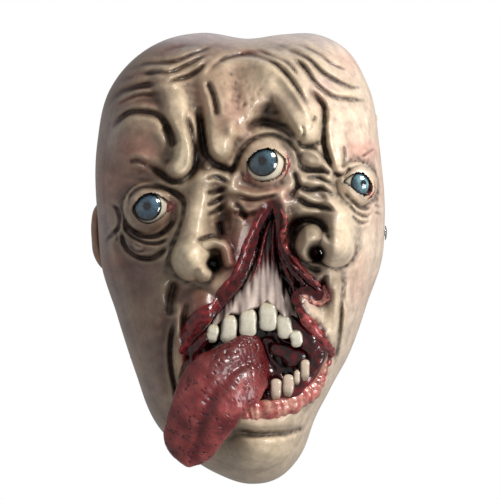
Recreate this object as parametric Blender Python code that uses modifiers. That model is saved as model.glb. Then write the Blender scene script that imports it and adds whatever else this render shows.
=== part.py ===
"""Latex halloween mask: a thin cast face shell with three glass-like eyes, two noses, a torn open
mouth with a hanging tongue, and an elastic head strap riveted to its sides.

Metres, +Z up. The face looks towards -Y. The origin is the middle of the wearer's head, at eye level.
"left" and "right" are the viewer's, for someone who looks at the face.
"""

import math

import bmesh
import bpy
import numpy as np
from mathutils import Matrix, Vector

# ---------------------------------------------------------------- driving sizes
WALL = 0.0025  # thickness of the cast latex
GAP = 0.0004  # clearance between pieces that touch or are glued
SKIN_STEPS = 32  # quads along each side of the shell's grid

# The head form: an outline seen from the front, bulging forwards from its widest section.
FACE_CENTRE = (-0.005, -0.020)  # x, z of the outline's middle
WIDEST_Y = -0.010  # where the head is widest
FRONT_DEPTH = 0.088  # from the widest section to the front of the form
FORM_FRONT_Y = WIDEST_Y - FRONT_DEPTH
RIM_Y = 0.020  # the rear rim is trimmed flat here
RIM_ANGLE = math.radians(99)  # how far the form curls in behind its widest section
OUTLINE = (
    (-0.002, 0.121), (0.022, 0.124), (0.044, 0.124), (0.064, 0.114), (0.079, 0.090), (0.087, 0.050),
    (0.091, 0.000), (0.089, -0.030), (0.079, -0.060), (0.066, -0.096), (0.053, -0.120), (0.042, -0.142),
    (0.034, -0.163), (0.018, -0.180), (-0.002, -0.184), (-0.024, -0.177), (-0.046, -0.163), (-0.064, -0.145),
    (-0.079, -0.110), (-0.092, -0.070), (-0.103, -0.035), (-0.106, 0.000), (-0.106, 0.050), (-0.097, 0.087),
    (-0.080, 0.108), (-0.060, 0.120), (-0.035, 0.125),
)
SIDE_FULLNESS, TOP_FULLNESS, CHIN_FULLNESS = 3.0, 2.5, 2.7  # superellipse powers of the form's sections
RELIEF_FADE = 0.12  # share of the outline's radius over which the bumps die out at its edge
DOME_FALL, RIDGE_FALL = 0.8, 0.9  # how fast domes and ridges fall off to their sides
TRIM_SIZE = (0.4, 0.1, 0.5)  # the block that trims the rim

# Bumps of the form: (x, z, half width, half height, how far it stands forwards)
DOMES = (
    (-0.071, 0.005, 0.026, 0.022, 0.007),  # round the left eye
    (0.070, 0.021, 0.022, 0.022, 0.010),  # round the right eye
    (0.009, 0.034, 0.026, 0.024, 0.004),  # round the middle eye
    (-0.080, 0.050, 0.022, 0.022, 0.008),  # left brow
    (0.000, -0.158, 0.030, 0.024, 0.018),  # chin
)
# Ridges of the form: (x, z and height of the upper end, x, z and height of the lower end, half width)
RIDGES = (
    (-0.052, 0.085, 0.004, -0.050, 0.036, 0.014, 0.012),  # hanging brow fold, left
    (-0.020, 0.090, 0.006, -0.021, 0.048, 0.014, 0.014),  # hanging brow fold, middle
    (0.022, 0.090, 0.008, 0.040, 0.060, 0.014, 0.014),  # hanging brow fold, right
    (-0.034, 0.014, 0.010, -0.042, -0.030, 0.032, 0.014),  # left nose
    (0.052, 0.020, 0.009, 0.058, -0.022, 0.030, 0.015),  # right nose
)
# The mouth, and the tear that runs up from it, seen from the front.
MOUTH = (
    (0.014, 0.006), (0.006, -0.004), (0.000, -0.020), (-0.006, -0.038), (-0.016, -0.054), (-0.028, -0.068),
    (-0.041, -0.082), (-0.047, -0.100), (-0.043, -0.118), (-0.028, -0.130), (-0.008, -0.134), (0.014, -0.132),
    (0.032, -0.124), (0.044, -0.110), (0.049, -0.094), (0.040, -0.080), (0.032, -0.062), (0.024, -0.044),
    (0.018, -0.022), (0.017, -0.008),
)
MOUTH_CUT_MARGIN = 0.020  # how far its cutter stands clear of the bumps of the form
NOSTRIL_STEPS = 10
NOSTRIL_CUT = 0.05  # length of a nostril's cutter
NOSTRILS = ((-0.0245, -0.034, 0.0034), (0.0420, -0.0260, 0.0042))  # x, z, radius

# Eyes: name, x, z of the middle, radius, turn to the viewer's right and turn upwards in degrees,
# and how far the dome stands out of the skin's outer surface
EYES = (
    ("left", -0.0700, 0.0050, 0.0155, -6.0, 4.0, 0.0045),
    ("middle", 0.0085, 0.0355, 0.0165, -6.0, 5.0, 0.0060),
    ("right", 0.0705, 0.0210, 0.0130, 24.0, 3.0, 0.0045),
)
EYE_WALL = 0.0016
LENS_RISE = 0.0005  # how far the lens stands out of the dome
IRIS_WALL = 0.0009
IRIS_LAP = 0.14  # angle by which the iris disc runs on behind the dome's opening
BACKING_WALL = 0.0007
IRIS_ANGLE = math.radians(38)  # from the gaze axis to the edge of the iris
PUPIL_HOLE = 0.0011  # radius of the hole that the wearer sees through
LENS_STEPS = 16

# Teeth: x, z of the middle, half width, half height, lean in degrees, and how far in front of the jaw's face
UPPER_TEETH = (
    (-0.0265, -0.0800, 0.0038, 0.0060, 16.0),
    (-0.0150, -0.0770, 0.0048, 0.0090, 5.0),
    (-0.0025, -0.0725, 0.0058, 0.0088, 2.0),
    (0.0104, -0.0680, 0.0057, 0.0094, -3.0),
    (0.0212, -0.0750, 0.0040, 0.0080, -9.0),
    (0.0295, -0.0832, 0.0035, 0.0056, -12.0),
)
LOWER_TEETH = (
    (0.0160, -0.1190, 0.0037, 0.0062, 2.0),
    (0.0242, -0.1165, 0.0038, 0.0068, 4.0),
    (0.0302, -0.1110, 0.0021, 0.0048, 4.0),
    (0.0358, -0.1060, 0.0030, 0.0064, 2.0),
)
TOOTH_DEPTH = 0.0032  # half a tooth's depth, front to back
TOOTH_STEPS = 10
TOOTH_TAPER = 0.62  # width at the root, as a share of the width at the edge
TOOTH_ROUND = 0.0009  # its rounded edges
TOOTH_PROUD = 0.35 * TOOTH_DEPTH  # how far the middle of a tooth stands in front of its jaw's face
JAW_FRONT_Y = FORM_FRONT_Y + 0.0100  # the jaw plate's front face
JAW_THICKNESS = 0.0070
JAW = (
    (0.012, -0.006), (0.004, -0.024), (-0.002, -0.046), (-0.012, -0.058), (-0.026, -0.070), (-0.030, -0.078),
    (-0.020, -0.076), (-0.004, -0.071), (0.010, -0.067), (0.022, -0.073), (0.029, -0.082), (0.032, -0.076),
    (0.026, -0.060), (0.018, -0.046), (0.013, -0.026),
)
GUM_FRONT_Y = FORM_FRONT_Y + 0.0120
GUM_THICKNESS = 0.0060
GUM = ((0.008, -0.127), (0.012, -0.119), (0.024, -0.115), (0.034, -0.106), (0.038, -0.098), (0.042, -0.102),
       (0.038, -0.114), (0.026, -0.123))

# The tongue: points along its middle (x, y behind the form's front, z), half its width and half its thickness
TONGUE = (
    ((0.0060, 0.0165, -0.0990), 0.0150, 0.0052),
    ((0.0000, 0.0065, -0.1015), 0.0200, 0.0062),
    ((-0.0110, -0.0050, -0.1085), 0.0235, 0.0068),
    ((-0.0240, -0.0120, -0.1190), 0.0245, 0.0068),
    ((-0.0340, -0.0110, -0.1350), 0.0235, 0.0062),
    ((-0.0400, -0.0040, -0.1510), 0.0210, 0.0056),
    ((-0.0420, 0.0010, -0.1620), 0.0165, 0.0048),
    ((-0.0430, 0.0040, -0.1690), 0.0080, 0.0036),
)
TONGUE_SIDES = 14
TONGUE_SPLIT = 2.35  # where the blade leaves the root, counted along TONGUE's points
TONGUE_SLIT = 0.03  # half the gap between them, counted the same way
ROOT_RINGS = (0.0, 0.7, 1.4, TONGUE_SPLIT - TONGUE_SLIT)
BLADE_RINGS = (TONGUE_SPLIT + TONGUE_SLIT, 3.0, 3.7, 4.4, 5.0, 5.6, 6.2, 6.6, 7.0)

# Lining behind the mouth, glued to the inside of the shell
LINING_CENTRE = (0.001, -0.067)
LINING_HALF = (0.054, 0.077)
LINING_BACK_Y = JAW_FRONT_Y + JAW_THICKNESS + 0.0045  # the lining's flat middle, behind the jaw
LINING_WALL = 0.0014
LINING_STEPS = 14

# Head strap
RIVET_Y, RIVET_Z = 0.003, -0.012
STRAP_WIDTH, STRAP_THICKNESS = 0.020, 0.0014
STRAP_STEPS = 22
STRAP_STRAIGHT = 0.024  # from the rivets straight back to where the band starts to curve
PATCH_THICKNESS = 0.0010
PATCH_HALF = (0.011, 0.014)  # front to back, and up
PATCH_INSET = WALL + 2.5 * GAP  # from the shell's outer surface to the patch
STRAP_INSET = PATCH_INSET + PATCH_THICKNESS + 0.0023  # the straight band also clears the shell's curled rim
RIVET_SHANK = 0.0020
RIVET_HOLE = RIVET_SHANK + GAP
RIVET_TAIL = 1.6 * RIVET_SHANK
RIVET_TAIL_HEIGHT = 0.0008
RIVET_HEAD = 0.0050
RIVET_HEAD_HEIGHT = 0.0012
WASHER_THICKNESS = 0.0008
RIVET_STEPS = 12
RIVET_CROWN = (0.70, 0.75)  # shares of the head's radius and height where its dome breaks
SHELL_CUT, BAND_CUT = 0.030, 0.012  # lengths of the cutters for the rivets' holes
PATCH_STEPS = 4
RING_WIRE = 0.0011
RING_TURN = math.radians(86)  # where the band turns back round the ring
TAB_LENGTH = 0.020  # from the right rivet to the ring
LOOP = RING_WIRE + GAP + STRAP_THICKNESS / 2  # radius of the band's middle round the ring's wire
SLIDER_ANGLE = math.radians(28)  # from straight behind the head, towards the viewer's left
SLIDER_HALF = 0.0085  # half the slider's length along the strap
SLIDER_CUT = (0.05, 0.02)  # lengths of its tunnel's and windows' cutters
BAND_TAIL = 0.006  # how far the band's end runs on past the slider
RING_RUN_IN = 0.16  # angle over which the turned-back band closes on its outer layer
TAB_STRAIGHT = (0.006, 0.008)  # its outer and inner layers' straight lengths past the rivet
INNER_STEPS = STRAP_STEPS - 7
SLIDER_BAR = 0.0022  # width of each of its bars
SLIDER_WALL = 0.0016
WINDOW_HEIGHT = 0.8 * STRAP_WIDTH

PAD_CENTRE = (0.000, 0.094)  # x, z of the forehead pad's middle
PAD_HALF = (0.034, 0.013)
PAD_THICKNESS = 0.0090
PAD_STEPS = (8, 3)

COLOURS = {
    "latex_skin": (0.62, 0.50, 0.38, 0.55, 0.0),
    "eye_white": (0.86, 0.84, 0.76, 0.20, 0.0),
    "eye_iris": (0.20, 0.42, 0.55, 0.30, 0.0),
    "eye_lens": (0.75, 0.85, 0.90, 0.05, 0.0),
    "gauze": (0.70, 0.64, 0.50, 0.85, 0.0),
    "tooth": (0.80, 0.78, 0.64, 0.25, 0.0),
    "jaw_bone": (0.72, 0.62, 0.55, 0.30, 0.0),
    "gum": (0.22, 0.06, 0.06, 0.25, 0.0),
    "tongue": (0.45, 0.08, 0.09, 0.30, 0.0),
    "lining": (0.08, 0.02, 0.02, 0.35, 0.0),
    "elastic": (0.05, 0.05, 0.05, 0.85, 0.0),
    "steel": (0.70, 0.70, 0.70, 0.30, 1.0),
    "plastic": (0.04, 0.04, 0.04, 0.45, 0.0),
    "foam": (0.30, 0.30, 0.32, 0.90, 0.0),
}


# ---------------------------------------------------------------- the head form
def closed_curve_radius(points, centre, angles):
    """Radius about centre, at each angle, of a smooth closed curve through points: cubic between neighbours."""
    x, z = np.array(points).T
    at = np.arctan2(z - centre[1], x - centre[0])
    r = np.hypot(x - centre[0], z - centre[1])
    order = np.argsort(at)
    at, r = at[order], r[order]
    at = np.concatenate([at[-2:] - 2 * np.pi, at, at[:2] + 2 * np.pi])
    r = np.concatenate([r[-2:], r, r[:2]])
    slope = np.gradient(r, at)
    angles = np.asarray(angles)
    k = np.clip(np.searchsorted(at, angles) - 1, 0, len(at) - 2)
    step = at[k + 1] - at[k]
    t = (angles - at[k]) / step
    return (
        r[k] * (1 + 2 * t) * (1 - t) ** 2
        + slope[k] * step * t * (1 - t) ** 2
        + r[k + 1] * t**2 * (3 - 2 * t)
        + slope[k + 1] * step * t**2 * (t - 1)
    )


def fullness(angle):
    """Superellipse power of the section at that angle round the outline."""
    vertical = np.sin(angle)
    ends = np.where(vertical > 0, TOP_FULLNESS, CHIN_FULLNESS)
    return SIDE_FULLNESS + (ends - SIDE_FULLNESS) * vertical**2


def relief(x, z):
    """How far the domes and ridges stand forwards of the plain form, at x, z."""
    total = np.zeros(np.shape(x))
    for dome_x, dome_z, half_x, half_z, height in DOMES:
        far2 = ((x - dome_x) / half_x) ** 2 + ((z - dome_z) / half_z) ** 2
        total += height * np.exp(-DOME_FALL * far2)
    for x0, z0, height0, x1, z1, height1, half in RIDGES:
        along = ((x - x0) * (x1 - x0) + (z - z0) * (z1 - z0)) / ((x1 - x0) ** 2 + (z1 - z0) ** 2)
        along = np.clip(along, 0, 1)
        far2 = ((x - x0 - along * (x1 - x0)) ** 2 + (z - z0 - along * (z1 - z0)) ** 2) / half**2
        total += (height0 + (height1 - height0) * along) * np.exp(-RIDGE_FALL * far2)
    return total


def front_y(x, z):
    """y of the form's outer surface at x, z, in front of its widest section."""
    x, z = np.asarray(x, float), np.asarray(z, float)
    angle = np.arctan2(z - FACE_CENTRE[1], x - FACE_CENTRE[0])
    share = np.hypot(x - FACE_CENTRE[0], z - FACE_CENTRE[1]) / closed_curve_radius(OUTLINE, FACE_CENTRE, angle)
    share = np.clip(share, 0, 1)
    power = fullness(angle)
    fade = np.clip((1 - share) / RELIEF_FADE, 0, 1)
    bulge = (1 - share**power) ** (1 / power)
    return WIDEST_Y - FRONT_DEPTH * bulge - relief(x, z) * fade * fade * (3 - 2 * fade)


def form_points(s, t):
    """Points of the head form for s and t from -1 to 1: a square grid pressed into the outline, then
    carried back from the front (middle of the grid) past the widest section to the rear rim (its edge)."""
    across = s * np.sqrt(1 - t * t / 2)
    up = t * np.sqrt(1 - s * s / 2)
    angle = np.arctan2(up, across)
    sweep = np.hypot(across, up) * RIM_ANGLE
    radius = closed_curve_radius(OUTLINE, FACE_CENTRE, angle) * np.sin(sweep)
    x = FACE_CENTRE[0] + radius * np.cos(angle)
    z = FACE_CENTRE[1] + radius * np.sin(angle)
    behind = WIDEST_Y + (RIM_Y - WIDEST_Y + 2 * WALL) * np.cos(sweep) / math.cos(RIM_ANGLE)
    y = np.where(sweep < math.pi / 2, front_y(x, z), behind)
    return np.stack([x, y, z], axis=-1)


def plain_y(x, z):
    """y of the form's front at x, z without its domes and ridges."""
    angle = np.arctan2(z - FACE_CENTRE[1], x - FACE_CENTRE[0])
    share = np.hypot(x - FACE_CENTRE[0], z - FACE_CENTRE[1]) / closed_curve_radius(OUTLINE, FACE_CENTRE, angle)
    power = fullness(angle)
    return WIDEST_Y - FRONT_DEPTH * (1 - np.clip(share, 0, 1) ** power) ** (1 / power)


def inner_y(x, z, clearance, step=0.003):
    """y of a sheet that lies that far inside the plain form's wall, measured square to it."""
    slope_x = float(plain_y(x + step, z) - plain_y(x - step, z)) / (2 * step)
    slope_z = float(plain_y(x, z + step) - plain_y(x, z - step)) / (2 * step)
    return float(plain_y(x, z)) + (WALL + clearance) * math.sqrt(1 + slope_x**2 + slope_z**2)


def side_x(side, y, z):
    """x of the form's outer surface at its side (-1 left, 1 right), behind the widest section."""
    turn = math.acos((y - WIDEST_Y) / (RIM_Y - WIDEST_Y + 2 * WALL) * math.cos(RIM_ANGLE))
    x = FACE_CENTRE[0] + side * 0.09
    for _ in range(12):
        angle = math.atan2(z - FACE_CENTRE[1], x - FACE_CENTRE[0])
        radius = float(closed_curve_radius(OUTLINE, FACE_CENTRE, angle)) * math.sin(turn)
        x = FACE_CENTRE[0] + side * math.sqrt(radius**2 - (z - FACE_CENTRE[1]) ** 2)
    return x


# ---------------------------------------------------------------- scene helpers
def clear_scene():
    for obj in list(bpy.data.objects):
        bpy.data.objects.remove(obj)


def collection(name, hidden=False):
    made = bpy.data.collections.new(name)
    bpy.context.scene.collection.children.link(made)
    made.hide_render = hidden
    return made


def material(slot):
    found = bpy.data.materials.get(slot)
    if found:
        return found
    red, green, blue, roughness, metallic = COLOURS[slot]
    made = bpy.data.materials.new(slot)
    made.use_nodes = True
    shader = made.node_tree.nodes["Principled BSDF"]
    shader.inputs["Base Color"].default_value = (red, green, blue, 1)
    shader.inputs["Roughness"].default_value = roughness
    shader.inputs["Metallic"].default_value = metallic
    return made


def add_object(name, data, slot, place=None):
    obj = bpy.data.objects.new(name, data)
    PARTS.objects.link(obj)
    data.materials.append(material(slot))
    if place is not None:
        obj.matrix_world = place
    return obj


def add_cutter(name, data, place=None):
    obj = bpy.data.objects.new(name, data)
    CUTTERS.objects.link(obj)
    obj.hide_render = True
    obj.display_type = "WIRE"
    if place is not None:
        obj.matrix_world = place
    return obj


def cut(obj, cutter, name="cut"):
    modifier = obj.modifiers.new(name, "BOOLEAN")
    modifier.operation = "DIFFERENCE"
    modifier.object = cutter
    modifier.solver = "EXACT"


def mesh_from(name, build):
    """A mesh made by a function that fills a bmesh, with its normals facing out."""
    shape = bmesh.new()
    build(shape)
    bmesh.ops.recalc_face_normals(shape, faces=shape.faces)
    data = bpy.data.meshes.new(name)
    shape.to_mesh(data)
    shape.free()
    return data


def box_mesh(name, size):
    def build(shape):
        bmesh.ops.create_cube(shape, size=1)
        bmesh.ops.scale(shape, vec=size, verts=shape.verts)

    return mesh_from(name, build)


def cylinder_mesh(name, radius, length, steps):
    def build(shape):
        bmesh.ops.create_cone(shape, cap_ends=True, segments=steps, radius1=radius, radius2=radius, depth=length)

    return mesh_from(name, build)


def sphere_mesh(name, radius, across, around):
    def build(shape):
        bmesh.ops.create_uvsphere(shape, u_segments=around, v_segments=across, radius=radius)

    return mesh_from(name, build)


def plate_mesh(name, outline, thickness):
    """A flat plate with that outline in x and z, from y = 0 back to y = thickness, as a filled curve."""
    curve = bpy.data.curves.new(name, "CURVE")
    curve.dimensions = "2D"
    curve.fill_mode = "BOTH"
    curve.extrude = thickness / 2
    spline = curve.splines.new("POLY")
    spline.points.add(len(outline) - 1)
    for point, (x, z) in zip(spline.points, outline):
        point.co = (x, z, 0, 1)
    spline.use_cyclic_u = True
    guide = bpy.data.objects.new(name + "_curve", curve)
    CUTTERS.objects.link(guide)
    guide.matrix_world = Matrix.Translation((0, thickness / 2, 0)) @ Matrix.Rotation(math.pi / 2, 4, "X")
    bpy.context.view_layer.update()
    data = bpy.data.meshes.new_from_object(guide.evaluated_get(bpy.context.evaluated_depsgraph_get()))
    data.transform(guide.matrix_world)
    bpy.data.objects.remove(guide)
    shape = bmesh.new()
    shape.from_mesh(data)
    bmesh.ops.remove_doubles(shape, verts=shape.verts, dist=1e-6)
    bmesh.ops.recalc_face_normals(shape, faces=shape.faces)
    shape.to_mesh(data)
    shape.free()
    data.name = name
    return data


def turned_object(name, profile, slot, place, steps=LENS_STEPS):
    """A solid of revolution about its own Z, from (radius, height) points that run down its outer side."""
    data = bpy.data.meshes.new(name)
    points = [(radius, 0, height) for radius, height in profile]
    closed = profile[0][0] > 1e-9 and profile[-1][0] > 1e-9
    edges = [(i, i + 1) for i in range(len(points) - 1)] + ([(len(points) - 1, 0)] if closed else [])
    data.from_pydata(points, edges, [])
    obj = add_object(name, data, slot, place)
    screw = obj.modifiers.new("turn", "SCREW")
    screw.steps = screw.render_steps = steps
    screw.use_merge_vertices = True
    screw.merge_threshold = 1e-5
    screw.use_normal_calculate = True
    screw.use_normal_flip = steps == RIVET_STEPS
    return obj


def loft_mesh(name, rings):
    """A closed skin over rings of points, with a flat cap at each end."""
    around = len(rings[0])
    points = [p for ring in rings for p in ring]
    faces = [
        (k * around + i, k * around + (i + 1) % around, (k + 1) * around + (i + 1) % around, (k + 1) * around + i)
        for k in range(len(rings) - 1)
        for i in range(around)
    ]
    faces.append(tuple(range(around)))
    faces.append(tuple((len(rings) - 1) * around + i for i in range(around)))
    data = bpy.data.meshes.new(name)
    data.from_pydata(points, [], faces)
    shape = bmesh.new()
    shape.from_mesh(data)
    bmesh.ops.recalc_face_normals(shape, faces=shape.faces)
    shape.to_mesh(data)
    shape.free()
    return data


def facing(direction, at, up=Vector((0, 0, 1))):
    """A matrix at a place whose own +Z points along a direction."""
    z_axis = Vector(direction).normalized()
    x_axis = up.cross(z_axis).normalized()
    y_axis = z_axis.cross(x_axis)
    turn = Matrix((x_axis, y_axis, z_axis)).transposed().to_4x4()
    return Matrix.Translation(at) @ turn


# ---------------------------------------------------------------- the shell
def make_skin():
    """The cast face: the form's open surface, thickened inwards, with its rim, mouth and holes cut."""
    shape = bmesh.new()
    bmesh.ops.create_grid(shape, x_segments=SKIN_STEPS, y_segments=SKIN_STEPS, size=1)
    s = np.array([v.co.x for v in shape.verts])
    t = np.array([v.co.y for v in shape.verts])
    for vertex, place in zip(shape.verts, form_points(s, t)):
        vertex.co = place
    data = bpy.data.meshes.new("face_skin")
    shape.to_mesh(data)
    shape.free()
    skin = add_object("face_skin", data, "latex_skin")
    wall = skin.modifiers.new("wall", "SOLIDIFY")
    wall.thickness = WALL
    wall.offset = -1
    wall.use_even_offset = True
    slab = add_cutter(
        "rim_trim", box_mesh("rim_trim", TRIM_SIZE),
        Matrix.Translation((0, RIM_Y + TRIM_SIZE[1] / 2, FACE_CENTRE[1])),
    )
    cut(skin, slab, "trim the rim")
    mouth = add_cutter(
        "mouth_cutter", plate_mesh("mouth_cutter", MOUTH, FRONT_DEPTH + MOUTH_CUT_MARGIN),
        Matrix.Translation((0, FORM_FRONT_Y - 2 * MOUTH_CUT_MARGIN, 0)),
    )
    cut(skin, mouth, "mouth")
    for name, x, z, radius, turn, lift, stands in EYES:
        socket = add_cutter(
            f"socket_{name}", sphere_mesh(f"socket_{name}", radius + 2 * GAP + BACKING_WALL, 12, 20),
            Matrix.Translation(eye_centre(x, z, radius, stands)),
        )
        cut(skin, socket, f"socket {name}")
    for k, (x, z, radius) in enumerate(NOSTRILS):
        hole = add_cutter(
            f"nostril_{k}", cylinder_mesh(f"nostril_{k}", radius, NOSTRIL_CUT, NOSTRIL_STEPS),
            facing((0, -1, 0), (x, float(front_y(x, z)), z)),
        )
        cut(skin, hole, f"nostril {k}")
    for side in (-1, 1):
        hole = add_cutter(
            f"rivet_hole_{side}", cylinder_mesh(f"rivet_hole_{side}", RIVET_HOLE, SHELL_CUT, RIVET_STEPS),
            facing((1, 0, 0), (side_x(side, RIVET_Y, RIVET_Z), RIVET_Y, RIVET_Z)),
        )
        cut(skin, hole, "rivet hole")
    data.shade_smooth()


# ---------------------------------------------------------------- eyes
def eye_centre(x, z, radius, stands):
    """Middle of the eye's dome, so that it stands out of the skin by that much where the eye is."""
    return Vector((x, float(front_y(x, z)) + radius - stands, z))


def arc(radius, start, end, steps):
    """Points (radius, height) on a circle, by angle from the turning axis."""
    angles = np.linspace(start, end, steps)
    return [(radius * math.sin(a), radius * math.cos(a)) for a in angles]


def make_eye(name, x, z, radius, turn, lift, stands):
    """White dome with an opening for the iris, the painted iris behind it, a clear lens and a gauze backing."""
    centre = eye_centre(x, z, radius, stands)
    gaze = Vector((math.sin(math.radians(turn)), -math.cos(math.radians(turn)), math.sin(math.radians(lift))))
    place = facing(gaze, centre)
    inner = radius - EYE_WALL
    edge = IRIS_ANGLE + GAP / radius
    back = math.radians(104)
    dome = arc(radius, edge, back, 7) + arc(inner, back, edge, 7)
    turned_object(f"eye_{name}_dome", dome, "eye_white", place)
    lens = arc(radius + LENS_RISE, 0, IRIS_ANGLE, 5) + arc(inner, IRIS_ANGLE, 0, 5)
    turned_object(f"eye_{name}_lens", lens, "eye_lens", place)
    seat = inner - GAP
    hole = PUPIL_HOLE / seat
    lap = IRIS_ANGLE + IRIS_LAP
    disc = arc(seat, hole, lap, 5) + arc(seat - IRIS_WALL, lap, hole, 5)
    turned_object(f"eye_{name}_iris", disc, "eye_iris", place)
    cup_in, cup_out = radius + GAP, radius + GAP + BACKING_WALL
    start, end = math.radians(122), math.radians(174)
    cup = arc(cup_out, start, end, 5) + arc(cup_in, end, start, 5)
    turned_object(f"eye_{name}_backing", cup, "gauze", place)


# ---------------------------------------------------------------- mouth
def tooth_mesh(name, half_width, half_height, grow=0.0):
    """A tapered crown: a cone with a rounded oval section, narrower at the root."""

    def build(shape):
        bmesh.ops.create_cone(
            shape, cap_ends=True, segments=TOOTH_STEPS, radius1=1.0, radius2=TOOTH_TAPER, depth=2.0
        )
        scale = (half_width + grow, TOOTH_DEPTH + grow, half_height + grow)
        bmesh.ops.scale(shape, vec=scale, verts=shape.verts)

    return mesh_from(name, build)


def tooth_place(x, z, lean, y, up):
    """Where a tooth stands: its root points up (1) or down (-1)."""
    flip = Matrix.Identity(4) if up > 0 else Matrix.Rotation(math.pi, 4, "Y")
    return Matrix.Translation((x, y, z)) @ Matrix.Rotation(math.radians(lean), 4, "Y") @ flip


def make_tooth(name, x, z, half_width, half_height, lean, y, up):
    place = tooth_place(x, z, lean, y, up)
    tooth = add_object(name, tooth_mesh(name, half_width, half_height), "tooth", place)
    edge = tooth.modifiers.new("round", "BEVEL")
    edge.width = TOOTH_ROUND
    edge.segments = 1
    edge.angle_limit = math.radians(50)
    cutter = add_cutter(name + "_seat", tooth_mesh(name + "_seat", half_width, half_height, GAP), place)
    return cutter


def make_jaws():
    """The exposed upper jaw and the lower gum, each cut to seat its teeth."""
    jaw = add_object(
        "upper_jaw", plate_mesh("upper_jaw", JAW, JAW_THICKNESS), "jaw_bone",
        Matrix.Translation((0, JAW_FRONT_Y, 0)),
    )
    for k, (x, z, half_width, half_height, lean) in enumerate(UPPER_TEETH, 1):
        y = JAW_FRONT_Y - TOOTH_PROUD
        cut(jaw, make_tooth(f"upper_tooth_{k}", x, z, half_width, half_height, lean, y, 1))
    gum = add_object(
        "lower_gum", plate_mesh("lower_gum", GUM, GUM_THICKNESS), "gum", Matrix.Translation((0, GUM_FRONT_Y, 0))
    )
    for k, (x, z, half_width, half_height, lean) in enumerate(LOWER_TEETH, 1):
        y = GUM_FRONT_Y - TOOTH_PROUD
        cut(gum, make_tooth(f"lower_tooth_{k}", x, z, half_width, half_height, lean, y, -1))


def make_lining():
    """A dished sheet behind the mouth and the tear, glued by its edge to the inside of the shell."""
    shape = bmesh.new()
    bmesh.ops.create_grid(shape, x_segments=LINING_STEPS, y_segments=LINING_STEPS, size=1)
    for vertex in shape.verts:
        s, t = vertex.co.x, vertex.co.y
        across, up = s * math.sqrt(1 - t * t / 2), t * math.sqrt(1 - s * s / 2)
        x = LINING_CENTRE[0] + LINING_HALF[0] * across
        z = LINING_CENTRE[1] + LINING_HALF[1] * up
        inside = inner_y(x, z, 3 * GAP)
        dish = max(0.0, LINING_BACK_Y - inside) * (1 - math.hypot(across, up) ** 8)
        vertex.co = (x, inside + dish, z)
    data = bpy.data.meshes.new("mouth_lining")
    shape.to_mesh(data)
    shape.free()
    lining = add_object("mouth_lining", data, "lining")
    wall = lining.modifiers.new("wall", "SOLIDIFY")
    wall.thickness = LINING_WALL
    wall.offset = -1
    data.shade_smooth()


# ---------------------------------------------------------------- tongue
def tongue_frame(at):
    """Middle, sideways and outward directions, half width and half thickness that far along TONGUE's points."""
    k = min(int(at), len(TONGUE) - 2)
    share = at - k
    middle = Vector((0, FORM_FRONT_Y, 0)) + Vector(TONGUE[k][0]).lerp(Vector(TONGUE[k + 1][0]), share)
    width = TONGUE[k][1] + (TONGUE[k + 1][1] - TONGUE[k][1]) * share
    thick = TONGUE[k][2] + (TONGUE[k + 1][2] - TONGUE[k][2]) * share
    before = Vector(TONGUE[max(0, k + (0 if share > 0 else -1))][0])
    heading = (Vector(TONGUE[k + 1][0]) - before).normalized()
    across = heading.cross(Vector((0, -1, 0))).normalized()
    out = across.cross(heading).normalized()
    return middle, across, out, width, thick


def tongue_ring(at):
    """Ring of points round the tongue, that far along TONGUE's points."""
    middle, across, out, width, thick = tongue_frame(at)
    ring = []
    for i in range(TONGUE_SIDES):
        a = 2 * math.pi * i / TONGUE_SIDES
        ring.append(middle + across * width * math.cos(a) + out * thick * math.sin(a))
    return ring


def make_tongue():
    """The part glued in the mouth and the blade that hangs over the lip and flexes there."""
    root = loft_mesh("tongue_root", [tongue_ring(at) for at in ROOT_RINGS])
    add_object("tongue_root", root, "tongue")
    rings = [tongue_ring(at) for at in BLADE_RINGS]
    blade = add_object("tongue_blade", loft_mesh("tongue_blade", rings), "tongue")
    middle, _, out, _, thick = tongue_frame(TONGUE_SPLIT)
    rebase(blade, middle + out * thick)


# ---------------------------------------------------------------- head strap
def strap_sides():
    """x of the strap's outer face at the left and right rivets."""
    return (
        side_x(-1, RIVET_Y, RIVET_Z) + STRAP_INSET,
        side_x(1, RIVET_Y, RIVET_Z) - STRAP_INSET,
    )


def strap_arc():
    """Centre x, centre y and radius of the strap's path behind the head, at its outer face."""
    left, right = strap_sides()
    return (left + right) / 2, RIVET_Y + STRAP_STRAIGHT, (right - left) / 2


def strap_point(turn, inset):
    """Point on the strap's path: turn is the angle from straight behind, towards the viewer's right."""
    x, y, radius = strap_arc()
    return x + (radius - inset) * math.sin(turn), y + (radius - inset) * math.cos(turn)


def band_mesh(name, path, width, thickness):
    """A flat band standing on edge, centred on path, a run of x, y points."""
    middle = np.array(path)
    along = np.gradient(middle, axis=0)
    along /= np.linalg.norm(along, axis=1)[:, None]
    aside = thickness / 2 * np.stack([along[:, 1], -along[:, 0]], axis=1)
    rings = [
        [(xo, yo, RIVET_Z - width / 2), (xo, yo, RIVET_Z + width / 2),
         (xi, yi, RIVET_Z + width / 2), (xi, yi, RIVET_Z - width / 2)]
        for (xo, yo), (xi, yi) in zip(middle - aside, middle + aside)
    ]
    return loft_mesh(name, rings)


def rebase(obj, origin):
    """Move an object's origin, on the joint's axis, without moving its shape."""
    obj.data.transform(Matrix.Translation(-Vector(origin)) @ obj.matrix_world)
    obj.matrix_world = Matrix.Translation(origin)


def ring_wires():
    """x, y of the ring's two upright wires: in the tab's loop and in the band's loop."""
    tab_wire = (strap_sides()[1] - STRAP_THICKNESS / 2 - LOOP, RIVET_Y + TAB_LENGTH)
    return tab_wire, strap_point(RING_TURN, STRAP_THICKNESS / 2 + LOOP)


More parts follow.
